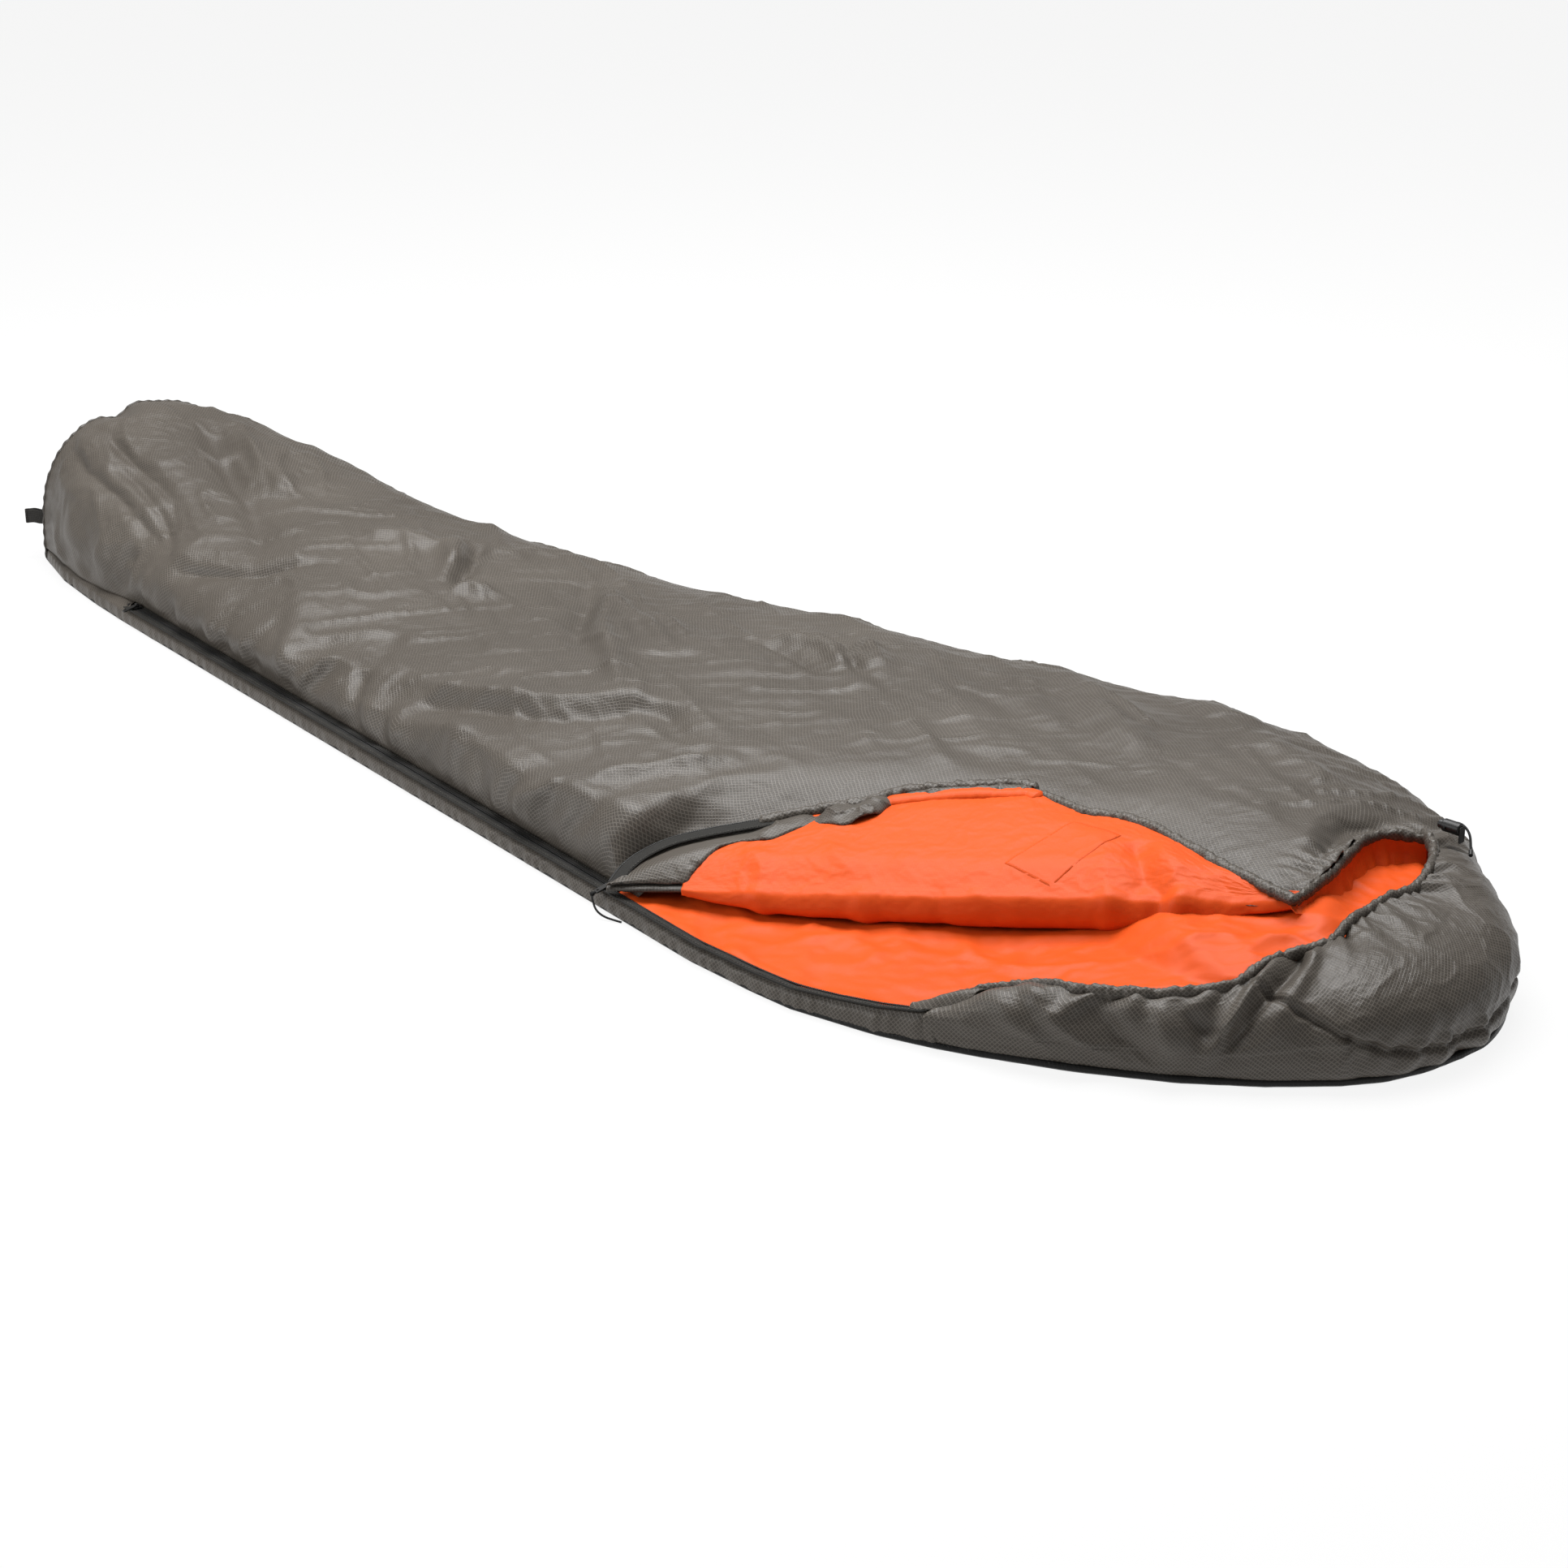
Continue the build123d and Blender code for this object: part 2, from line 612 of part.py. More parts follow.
# knot of the zip cord, butted on the end of the main pull tab
KNOT_R = 2.6
pp = pull_plane(MAIN_SLIDER_X)
knot_at = pp.from_local_coords(Vector(0, TAB_LEN + 2.4, 0))
with BuildPart() as main_pull_knot:
    with BuildSketch(Plane(origin=pp.from_local_coords(Vector(0, TAB_LEN, 0)), z_dir=pp.y_dir)):
        Circle(1.6)
    extrude(amount=1.4)
    with Locations(knot_at + pp.y_dir * 1.2):
        Sphere(KNOT_R)
main_pull_knot.part.label = "main_pull_knot"
export_step(main_pull_knot.part, "parts/main_pull_knot.step")


def zip_local(x, pts):
    base = track_plane(x)
    return [tuple(base.from_local_coords(Vector(*p))) for p in pts]


# loop of thin cord from the knot, lying along the foot of the side strip
pull_cord_route = zip_local(MAIN_SLIDER_X, [(2.0, -24.6, 18.6), (7.0, -26.6, 13.5), (14.0, -27.5, 7.4), (23.0, -24.8, 3.6),
                                            (33.0, -19.8, 2.1), (41.0, -15.6, 1.5)])
with BuildPart() as main_pull_cord:
    with BuildLine():
        pc = FilletPolyline(*pull_cord_route, radius=soft_radii(pull_cord_route, 1.0))
    with BuildSketch(Plane(origin=pc @ 0, z_dir=pc % 0)):
        Circle(1.1)
    sweep()
    pull_cord_length = pc.length if hasattr(pc, "length") else 0
main_pull_cord.part.label = "main_pull_cord"
export_step(main_pull_cord.part, "parts/main_pull_cord.step")

# ---------------------------------------------------------------- folded flap
u3 = Vector(FOLD_B[0] - AX, FOLD_B[1] - AY, FOLD_B[2] - AZ).normalized()
h3 = Vector(-UY, UX, 0)
w3 = u3.cross(h3)
m3 = h3 * (-math.sin(math.radians(FOLD_TILT))) + w3 * math.cos(math.radians(FOLD_TILT))
FOLD = Plane(origin=FOLD_A, x_dir=u3, z_dir=m3)
AXIS_LEN = math.dist(FOLD_A, FOLD_B)
TIP_S = FLAP_TIP[0] / FOLD_COS
TIP_D = FLAP_TIP[1] / math.cos(math.radians(FOLD_TILT))
zip_edge = Vector(TIP_S, TIP_D).normalized()                  # from the fold's zip end to the free corner
face_edge = (Vector(AXIS_LEN, 0) - Vector(TIP_S, TIP_D)).normalized()
zip_in = Vector(zip_edge.Y, -zip_edge.X)                      # inward normals
face_in = Vector(-face_edge.Y, face_edge.X) * -1.0
if face_in.Y > 0:
    face_in = face_in * -1.0


def meet(p, a, q, b):
    # crossing point of the lines p + s a and q + t b
    det = a.X * -b.Y + b.X * a.Y
    r = q - p
    s = (r.X * -b.Y + b.X * r.Y) / det
    return p + a * s


def flap_outline(zip_inset, face_inset, fold_gap=4.0, start=FLAP_START, end_gap=46.0):
    za = Vector(0, 0) + zip_in * zip_inset
    fb = Vector(AXIS_LEN, 0) + face_in * face_inset
    tip = meet(za, zip_edge, fb, face_edge)
    k0 = (start - za.X) / zip_edge.X
    near = za + zip_edge * k0
    k1 = (AXIS_LEN - end_gap - fb.X) / face_edge.X
    far = fb + face_edge * k1
    cut1 = tip - zip_edge * 16.0
    cut2 = tip + face_edge * 16.0
    pts = [(near.X, fold_gap), (AXIS_LEN - end_gap, fold_gap)]
    if far.Y > fold_gap + 1:
        pts.append((far.X, far.Y))
    pts += [(cut2.X, cut2.Y), (cut1.X, cut1.Y)]
    if near.Y > fold_gap + 1:
        pts.append((near.X, near.Y))
    return pts


with BuildPart() as flap_shell:
    with BuildSketch(FOLD.offset(1.0)):
        with BuildLine():
            Polyline(*flap_outline(13.0, 14.0), close=True)
        make_face()
    extrude(amount=1.0)
flap_shell.part.label = "flap_shell"
export_step(flap_shell.part, "parts/flap_shell.step")

with BuildPart() as flap_wadding:
    with BuildSketch(FOLD.offset(2.3)):
        with BuildLine():
            Polyline(*flap_outline(14.0, 14.0), close=True)
        make_face()
    extrude(amount=4.4)
flap_wadding.part.label = "flap_wadding"
export_step(flap_wadding.part, "parts/flap_wadding.step")

with BuildPart() as flap_lining:
    with BuildSketch(FOLD.offset(7.0)):
        with BuildLine():
            Polyline(*flap_outline(14.0, 14.0), close=True)
        make_face()
    extrude(amount=1.0)
flap_lining.part.label = "flap_lining"
export_step(flap_lining.part, "parts/flap_lining.step")

z0 = Vector(0, 0) + zip_in * 0.0
tip0 = meet(z0, zip_edge, Vector(AXIS_LEN, 0) + face_in * 14.0, face_edge)
strip_end = (tip0 - zip_edge * 22.0 - z0).length


def zip_strip(inset0, inset1, start_s, end_len):
    a = zip_in * inset0 + zip_edge * (start_s / zip_edge.X)
    b = zip_in * inset0 + zip_edge * end_len
    c = zip_in * inset1 + zip_edge * end_len
    d = zip_in * inset1 + zip_edge * (start_s / zip_edge.X)
    return [(p.X, p.Y) for p in (a, b, c, d)]


with BuildPart() as flap_zip_tape:
    with BuildSketch(FOLD.offset(4.2)):
        with BuildLine():
            Polyline(*zip_strip(1.0, 12.4, FLAP_START + 8, strip_end), close=True)
        make_face()
    extrude(amount=TAPE_T)
flap_zip_tape.part.label = "flap_zip_tape"
export_step(flap_zip_tape.part, "parts/flap_zip_tape.step")

with BuildPart() as flap_zip_coil:
    coil_a = zip_in * -0.6 + zip_edge * ((FLAP_START + 8) / zip_edge.X)
    coil_b = zip_in * -0.6 + zip_edge * strip_end
    with BuildSketch(Plane(origin=FOLD.from_local_coords(Vector(coil_a.X, coil_a.Y, 4.6)),
                           z_dir=FOLD.from_local_coords(Vector(coil_b.X, coil_b.Y, 4.6))
                           - FOLD.from_local_coords(Vector(coil_a.X, coil_a.Y, 4.6)))):
        Circle(COIL_R)
    extrude(amount=(coil_b - coil_a).length)
flap_zip_coil.part.label = "flap_zip_coil"
export_step(flap_zip_coil.part, "parts/flap_zip_coil.step")

# facing strip of shell fabric along the flap's zip edge, on the lining side
with BuildPart() as flap_facing:
    with BuildSketch(FOLD.offset(8.4)):
        with BuildLine():
            Polyline(*zip_strip(14.0, 46.0, FLAP_START + 60, strip_end - 20.0), close=True)
        make_face()
    extrude(amount=0.8)
flap_facing.part.label = "flap_facing"
export_step(flap_facing.part, "parts/flap_facing.step")

# pocket panel stitched to the lining
with BuildPart() as inner_pocket:
    with BuildSketch(FOLD.offset(8.4)):
        with Locations((TIP_S + 30.0, 58.0)):
            RectangleRounded(140.0, 70.0, 6.0)
    extrude(amount=0.8)
inner_pocket.part.label = "inner_pocket"
export_step(inner_pocket.part, "parts/inner_pocket.step")

face0 = Vector(AXIS_LEN, 0) + face_in * 6.4
hem_s = meet(z0, zip_edge, face0, face_edge) + face_edge * 20.0
hem_e = face0 - face_edge * 62.0
with BuildPart() as flap_hem:
    p0 = FOLD.from_local_coords(Vector(hem_s.X, hem_s.Y, 6.4))
    p1 = FOLD.from_local_coords(Vector(hem_e.X, hem_e.Y, 6.4))
    with BuildSketch(Plane(origin=p0, z_dir=p1 - p0)):
        Circle(5.2)
        Circle(3.6, mode=Mode.SUBTRACT)
    extrude(amount=(p1 - p0).length)
flap_hem.part.label = "flap_hem"
export_step(flap_hem.part, "parts/flap_hem.step")

with BuildPart() as flap_drawcord:
    with BuildSketch(Plane(origin=p0, z_dir=p1 - p0)):
        Circle(CORD_R)
    extrude(amount=(p1 - p0).length)
flap_drawcord.part.label = "flap_drawcord"
export_step(flap_drawcord.part, "parts/flap_drawcord.step")

# ---------------------------------------------------------------- cord lock on the hood's drawcord
LX, LY, LZ = LOCK
CROSS_X = LX - 5.0                  # the cord passes crosswise here
lock_axis = Plane(origin=(LX - 10.0, LY, LZ), x_dir=(0, 1, 0), z_dir=(1, 0, 0))
with BuildPart() as cord_lock_barrel:
    with BuildSketch(lock_axis):
        Circle(LOCK_R)
    extrude(amount=20.0)
    fillet(cord_lock_barrel.edges().filter_by(GeomType.CIRCLE), 1.2)
    with BuildSketch(lock_axis.offset(-1.0)):
        Circle(LOCK_BORE)
    extrude(amount=18.0, mode=Mode.SUBTRACT)
    with BuildSketch(Plane(origin=(CROSS_X, LY - 10.0, LZ), x_dir=(1, 0, 0), z_dir=(0, 1, 0))):
        Circle(1.7)
    extrude(amount=20.0, mode=Mode.SUBTRACT)
cord_lock_barrel.part.label = "cord_lock_barrel"
export_step(cord_lock_barrel.part, "parts/cord_lock_barrel.step")

with BuildPart() as cord_lock_plunger:
    with BuildSketch(lock_axis.offset(-5.2)):
        Circle(PLUNGER_R)
    extrude(amount=15.6)
    fillet(cord_lock_plunger.faces().sort_by(Axis.X)[0].edges(), 1.4)
    with BuildSketch(Plane(origin=(CROSS_X - LOCK_TRAVEL / 2, LY - 10.0, LZ), x_dir=(1, 0, 0), z_dir=(0, 1, 0))):
        SlotCenterToCenter(LOCK_TRAVEL, 3.4)
    extrude(amount=20.0, mode=Mode.SUBTRACT)
cord_lock_plunger.part.label = "cord_lock_plunger"
export_step(cord_lock_plunger.part, "parts/cord_lock_plunger.step")

# spring between the plunger and the closed end, as a plain sleeve of its outer size
with BuildPart() as cord_lock_spring:
    with BuildSketch(lock_axis.offset(10.7)):
        Circle(3.9)
        Circle(3.1, mode=Mode.SUBTRACT)
    extrude(amount=6.0)
cord_lock_spring.part.label = "cord_lock_spring"
export_step(cord_lock_spring.part, "parts/cord_lock_spring.step")

# cord through the lock, from the casing's end to the lock's far side
with BuildPart() as lock_cord:
    with BuildSketch(Plane(origin=(CROSS_X, LY - 9.0, LZ), x_dir=(1, 0, 0), z_dir=(0, 1, 0))):
        Circle(CORD_R)
    extrude(amount=16.0)
lock_cord.part.label = "lock_cord"
export_step(lock_cord.part, "parts/lock_cord.step")

tail_route = [(CROSS_X, LY + 7.0, LZ), (CROSS_X, LY + 13.0, LZ), (CROSS_X + 6.5, LY + 17.0, LZ - 2.4),
              (CROSS_X + 16.5, LY + 12.5, LZ - 6.0), (CROSS_X + 24.5, LY + 4.0, LZ - 10.8), (CROSS_X + 31.5, LY - 6.0, LZ - 14.8)]
with BuildPart() as drawcord_tail:
    with BuildLine():
        tail_path = FilletPolyline(*tail_route, radius=soft_radii(tail_route, 1.0))
    with BuildSketch(Plane(origin=tail_path @ 0, z_dir=tail_path % 0)):
        Circle(CORD_R)
    sweep()
drawcord_tail.part.label = "drawcord_tail"
export_step(drawcord_tail.part, "parts/drawcord_tail.step")

tail_end = Vector(*tail_route[-1])
tail_dir = (Vector(*tail_route[-1]) - Vector(*tail_route[-2])).normalized()
with BuildPart() as cord_end:
    with BuildSketch(Plane(origin=tail_end, z_dir=tail_dir)):
        Circle(2.2)
    extrude(amount=8.0)
    fillet(cord_end.edges().filter_by(GeomType.CIRCLE), 0.9)
cord_end.part.label = "cord_end"
export_step(cord_end.part, "parts/cord_end.step")

# webbing tab that ties the lock's closed end to the hood
with BuildPart() as lock_tab:
    with BuildSketch(Plane(origin=(LX + 10.4, LY, LZ - 13.5), x_dir=(0, 1, 0), z_dir=(1, 0, 0))):
        with Locations((0, 8.5)):
            RectangleRounded(9.0, 17.0, 2.0)
    extrude(amount=1.2)
lock_tab.part.label = "lock_tab"
export_step(lock_tab.part, "parts/lock_tab.step")

# ---------------------------------------------------------------- notes printed for the builder of the record
for name, route, r in (("main_pull_cord", pull_cord_route, 1.1), ("drawcord_tail", tail_route, CORD_R)):
    radii = soft_radii(route, 1.0)
    print(name, "radii", [round(v, 1) for v in radii])
print("pull cord length", round(Wire(FilletPolyline(*pull_cord_route, radius=soft_radii(pull_cord_route, 1.0))).length, 1),
      "volume/section", round(main_pull_cord.part.volume / (math.pi * 1.1 ** 2), 1))
print("tail length", round(Wire(FilletPolyline(*tail_route, radius=soft_radii(tail_route, 1.0))).length, 1),
      "volume/section", round(drawcord_tail.part.volume / (math.pi * CORD_R ** 2), 1))
print("fold axis", [round(v, 5) for v in u3], "normal", [round(v, 5) for v in m3], "length", round(AXIS_LEN, 1))
print("track direction", [round(v, 5) for v in T_DIR])
print("main pin", [round(v, 3) for v in track_plane(MAIN_SLIDER_X, PIN_Z).origin])
print("foot pin", [round(v, 3) for v in track_plane(FOOT_SLIDER_X, PIN_Z).origin])
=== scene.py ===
import json
import math

import bpy
import numpy as np
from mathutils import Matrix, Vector


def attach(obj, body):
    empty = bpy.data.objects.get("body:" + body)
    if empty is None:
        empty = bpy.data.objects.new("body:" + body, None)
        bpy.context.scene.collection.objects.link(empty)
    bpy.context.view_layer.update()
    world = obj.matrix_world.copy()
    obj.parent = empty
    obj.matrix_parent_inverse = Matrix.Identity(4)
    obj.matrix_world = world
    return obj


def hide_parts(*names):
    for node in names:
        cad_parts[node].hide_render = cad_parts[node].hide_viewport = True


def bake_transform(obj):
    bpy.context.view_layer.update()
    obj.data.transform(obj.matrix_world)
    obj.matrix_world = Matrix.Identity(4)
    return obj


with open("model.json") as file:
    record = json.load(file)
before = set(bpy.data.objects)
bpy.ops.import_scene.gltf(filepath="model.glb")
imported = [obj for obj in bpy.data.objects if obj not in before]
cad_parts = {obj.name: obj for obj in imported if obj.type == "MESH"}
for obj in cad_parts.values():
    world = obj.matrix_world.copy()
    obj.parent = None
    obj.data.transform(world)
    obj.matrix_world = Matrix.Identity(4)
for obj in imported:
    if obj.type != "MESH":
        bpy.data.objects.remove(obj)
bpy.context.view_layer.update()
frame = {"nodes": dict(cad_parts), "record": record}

scene = bpy.context.scene
nodes = frame["nodes"]

# ---------------------------------------------------------------- camera
cam_data = bpy.data.cameras.new("camera")
cam_data.lens = 71.23
cam_data.sensor_width = 36.0
cam = bpy.data.objects.new("camera", cam_data)
scene.collection.objects.link(cam)
cam.location = (2.4437, -2.2550, 1.3087)
cam.rotation_euler = Vector((-0.6589, 0.6496, -0.3793)).to_track_quat("-Z", "Y").to_euler()
scene.camera = cam


# ---------------------------------------------------------------- materials
def new_material(name):
    m = bpy.data.materials.new(name)
    m.use_nodes = True
    t = m.node_tree
    return m, t, t.nodes["Principled BSDF"]


def link(t, a, b):
    t.links.new(a, b)


def math_node(t, op, a, b=None):
    n = t.nodes.new("ShaderNodeMath")
    n.operation = op
    for i, v in enumerate((a, b)):
        if v is None:
            continue
        if isinstance(v, (int, float)):
            n.inputs[i].default_value = v
        else:
            link(t, v, n.inputs[i])
    return n.outputs[0]


def fabric(name, low, high, pitch, grid, rough, sheen=0.0, bump=0.35, crumple=0.35, turn=0.0, coat=0.0, mapped=True,
           crumple_scale=16.0, specular=0.5):
    """Woven cloth: a fine thread weave, a ripstop grid of the given pitch in metres, and soft micro-crumples."""
    m, t, b = new_material(name)
    if mapped:
        uv = t.nodes.new("ShaderNodeUVMap")
        uv.uv_map = "weave"
        src = uv.outputs[0]
    else:
        src = t.nodes.new("ShaderNodeTexCoord").outputs["Object"]
    mp = t.nodes.new("ShaderNodeMapping")
    mp.inputs["Rotation"].default_value = (0, 0, turn)
    link(t, src, mp.inputs["Vector"])
    sep = t.nodes.new("ShaderNodeSeparateXYZ")
    link(t, mp.outputs[0], sep.inputs[0])

    def lines(out, p, power):
        s = math_node(t, "SINE", math_node(t, "MULTIPLY", out, 2 * math.pi / p))
        h = math_node(t, "ADD", math_node(t, "MULTIPLY", s, 0.5), 0.5)
        return math_node(t, "POWER", h, power)

    gx, gy = lines(sep.outputs[0], pitch, 7.0), lines(sep.outputs[1], pitch, 7.0)
    g = math_node(t, "MAXIMUM", gx, gy)
    wx, wy = lines(sep.outputs[0], 0.0007, 1.0), lines(sep.outputs[1], 0.0007, 1.0)
    w = math_node(t, "MULTIPLY", wx, wy)
    noise = t.nodes.new("ShaderNodeTexNoise")
    noise.inputs["Scale"].default_value = 5.0
    noise.inputs["Detail"].default_value = 4.0
    obj = t.nodes.new("ShaderNodeTexCoord").outputs["Object"]
    link(t, obj, noise.inputs["Vector"])
    crum = t.nodes.new("ShaderNodeTexNoise")
    crum.inputs["Scale"].default_value = crumple_scale
    crum.inputs["Detail"].default_value = 6.0
    crum.inputs["Roughness"].default_value = 0.55
    crum.inputs["Distortion"].default_value = 0.8
    link(t, obj, crum.inputs["Vector"])
    mix = t.nodes.new("ShaderNodeMix")
    mix.data_type = "RGBA"
    mix.inputs["A"].default_value = (*low, 1)
    mix.inputs["B"].default_value = (*high, 1)
    k = math_node(t, "ADD", math_node(t, "MULTIPLY", g, grid), math_node(t, "MULTIPLY", math_node(t, "SUBTRACT", noise.outputs[0], 0.5), 0.5))
    link(t, k, mix.inputs["Factor"])
    link(t, mix.outputs["Result"], b.inputs["Base Color"])
    r = math_node(t, "ADD", math_node(t, "MULTIPLY", noise.outputs[0], 0.16), rough - 0.08)
    link(t, math_node(t, "SUBTRACT", r, math_node(t, "MULTIPLY", g, 0.10)), b.inputs["Roughness"])
    b.inputs["Specular IOR Level"].default_value = specular
    if sheen:
        b.inputs["Sheen Weight"].default_value = sheen
        b.inputs["Sheen Roughness"].default_value = 0.35
    if coat:
        b.inputs["Coat Weight"].default_value = coat
        b.inputs["Coat Roughness"].default_value = 0.3
    b1 = t.nodes.new("ShaderNodeBump")
    b1.inputs["Strength"].default_value = crumple
    b1.inputs["Distance"].default_value = 0.012
    link(t, crum.outputs[0], b1.inputs["Height"])
    b2 = t.nodes.new("ShaderNodeBump")
    b2.inputs["Strength"].default_value = bump
    b2.inputs["Distance"].default_value = 0.00035
    link(t, math_node(t, "ADD", g, math_node(t, "MULTIPLY", w, 0.35)), b2.inputs["Height"])
    link(t, b1.outputs[0], b2.inputs["Normal"])
    link(t, b2.outputs[0], b.inputs["Normal"])
    return m


def hard(name, color, rough, metal=0.0, grain=300.0, depth=0.00012, edge=None, specular=0.3):
    """Moulded plastic or lacquered metal, with fine grain and uneven gloss."""
    m, t, b = new_material(name)
    obj = t.nodes.new("ShaderNodeTexCoord").outputs["Object"]
    n = t.nodes.new("ShaderNodeTexNoise")
    n.inputs["Scale"].default_value = grain
    n.inputs["Detail"].default_value = 5.0
    link(t, obj, n.inputs["Vector"])
    mix = t.nodes.new("ShaderNodeMix")
    mix.data_type = "RGBA"
    mix.inputs["A"].default_value = (*[c * 0.8 for c in color], 1)
    mix.inputs["B"].default_value = (*(edge or [min(1, c * 1.3 + 0.004) for c in color]), 1)
    link(t, n.outputs[0], mix.inputs["Factor"])
    link(t, mix.outputs["Result"], b.inputs["Base Color"])
    link(t, math_node(t, "ADD", math_node(t, "MULTIPLY", n.outputs[0], 0.2), rough - 0.1), b.inputs["Roughness"])
    b.inputs["Metallic"].default_value = metal
    b.inputs["Specular IOR Level"].default_value = specular
    bp = t.nodes.new("ShaderNodeBump")
    bp.inputs["Strength"].default_value = 0.3
    bp.inputs["Distance"].default_value = depth
    link(t, n.outputs[0], bp.inputs["Height"])
    link(t, bp.outputs[0], b.inputs["Normal"])
    return m


def braided(name, color, pitch=0.0016):
    m, t, b = new_material(name)
    obj = t.nodes.new("ShaderNodeTexCoord").outputs["Object"]
    wv = t.nodes.new("ShaderNodeTexWave")
    wv.wave_type = "BANDS"
    wv.bands_direction = "DIAGONAL"
    wv.inputs["Scale"].default_value = 0.3 / pitch
    wv.inputs["Distortion"].default_value = 1.2
    link(t, obj, wv.inputs["Vector"])
    mix = t.nodes.new("ShaderNodeMix")
    mix.data_type = "RGBA"
    mix.inputs["A"].default_value = (*[c * 0.6 for c in color], 1)
    mix.inputs["B"].default_value = (*[min(1, c * 2.2 + 0.004) for c in color], 1)
    link(t, wv.outputs["Fac"], mix.inputs["Factor"])
    link(t, mix.outputs["Result"], b.inputs["Base Color"])
    b.inputs["Roughness"].default_value = 0.70
    b.inputs["Specular IOR Level"].default_value = 0.15
    bp = t.nodes.new("ShaderNodeBump")
    bp.inputs["Strength"].default_value = 0.5
    bp.inputs["Distance"].default_value = 0.0003
    link(t, wv.outputs["Fac"], bp.inputs["Height"])
    link(t, bp.outputs[0], b.inputs["Normal"])
    return m


def srgb(r, g, b):
    f = lambda c: (c / 255 / 12.92) if c / 255 <= 0.04045 else ((c / 255 + 0.055) / 1.055) ** 2.4
    return f(r), f(g), f(b)


GREY_LO, GREY_HI = (0.044, 0.0375, 0.0310), (0.120, 0.106, 0.090)
M_SHELL = fabric("shell_ripstop", GREY_LO, GREY_HI, 0.0034, 0.80, 0.43, turn=0.785, specular=0.26, crumple=0.25)
# a darkened copy of the shell cloth: painted shade for cloth that sits in shadow
M_SHELL_PAINTED_SHADE = fabric("shell_ripstop_painted_shade", [c * 0.62 for c in GREY_LO], [c * 0.62 for c in GREY_HI], 0.0034, 0.7, 0.40,
                      turn=0.1, specular=0.3)
M_ORANGE = fabric("orange_lining", (0.56, 0.066, 0.008), (0.64, 0.098, 0.018), 0.0016, 0.35, 0.50, bump=0.15, crumple=0.16,
                  crumple_scale=9.0, specular=0.12)
# near-black groundsheet cloth: the sheet's own dark nylon, and also painted contact shadow along the bottom edge
M_GROUND_AND_PAINTED_SHADOW = fabric("groundsheet_nylon", (0.004, 0.004, 0.004), (0.012, 0.012, 0.0115), 0.004, 0.4, 0.45, specular=0.2)
M_TAPE = fabric("zip_tape", (0.017, 0.0163, 0.015), (0.034, 0.033, 0.0305), 0.0012, 0.7, 0.78, bump=0.5, crumple=0.1, specular=0.15)
M_WEB = fabric("webbing", (0.020, 0.019, 0.018), (0.055, 0.052, 0.047), 0.0018, 0.8, 0.75, bump=0.8, crumple=0.1, specular=0.15)
M_WADDING = fabric("wadding", (0.62, 0.61, 0.58), (0.85, 0.84, 0.80), 0.006, 0.2, 0.9, mapped=False)
M_THREAD = braided("stitching", (0.05, 0.048, 0.042), 0.002)
M_THREAD_O = braided("stitching_orange", (0.80, 0.105, 0.012), 0.002)
M_COIL = hard("zip_coil", (0.012, 0.012, 0.012), 0.35, grain=900)
M_CORD = braided("cord", (0.006, 0.006, 0.006))
M_BLACK = hard("black_plastic", (0.004, 0.004, 0.004), 0.42, grain=700)
M_SPRING = hard("spring_steel", (0.55, 0.55, 0.55), 0.3, metal=1.0)
M_SLIDER = hard("slider_metal", (0.004, 0.004, 0.004), 0.36, metal=0.0, grain=500)
M_PULL = hard("pull_metal", (0.011, 0.0105, 0.010), 0.48, metal=0.0, grain=500, specular=0.22)

SLOT_MATERIAL = {"shell_ripstop": M_SHELL, "orange_lining": M_ORANGE, "groundsheet_nylon": M_GROUND_AND_PAINTED_SHADOW, "wadding": M_WADDING,
                 "webbing": M_WEB, "zip_tape": M_TAPE, "zip_coil": M_COIL, "cord": M_CORD, "black_plastic": M_BLACK,
                 "spring_steel": M_SPRING, "slider_metal": M_SLIDER, "pull_metal": M_PULL}
for part in frame["record"]["subparts"]:
    o = nodes[part["node"]]
    o.data.materials.clear()
    o.data.materials.append(SLOT_MATERIAL[part["material_slot"]])


# ---------------------------------------------------------------- free cords
def free_cord(name, points, diameter, body):
    c = bpy.data.curves.new(name, "CURVE")
    c.dimensions = "3D"
    s = c.splines.new("NURBS")
    s.points.add(len(points) - 1)
    for p, q in zip(s.points, points):
        p.co = (*q, 1.0)
    s.order_u = 3
    s.use_endpoint_u = True
    c.resolution_u = 12
    c.bevel_depth = diameter / 2
    c.bevel_resolution = 5
    c.use_fill_caps = True
    c.materials.append(M_CORD)
    o = bpy.data.objects.new(name, c)
    scene.collection.objects.link(o)
    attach(o, body)
    return o


T = np.array([0.99081, -0.13525, 0.0])
NRM = np.array([0.13525, 0.99081, 0.0])
MAIN_PIN = np.array([0.280, -0.367724, 0.0])


def on_zip(p):
    return tuple(MAIN_PIN + T * p[0] / 1000 + NRM * p[1] / 1000 + np.array([0, 0, p[2] / 1000]))


pull_route = [on_zip(p) for p in [(2.0, -24.6, 18.6), (7.0, -26.6, 13.5), (14.0, -27.5, 7.4), (23.0, -24.8, 3.6),
                                  (33.0, -19.8, 2.1), (41.0, -15.6, 1.5)]]
pull_cord = free_cord("pull_cord_loop", pull_route, 0.0022, "main_pull")
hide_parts("main_pull_cord")
tail_route = [(0.909, 0.179, 0.118), (0.909, 0.185, 0.118), (0.9155, 0.189, 0.1156), (0.9255, 0.1845, 0.112),
              (0.9335, 0.176, 0.1072), (0.9405, 0.166, 0.1032)]
tail = free_cord("lock_cord_tail", tail_route, 0.0026, "sack")
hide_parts("drawcord_tail")


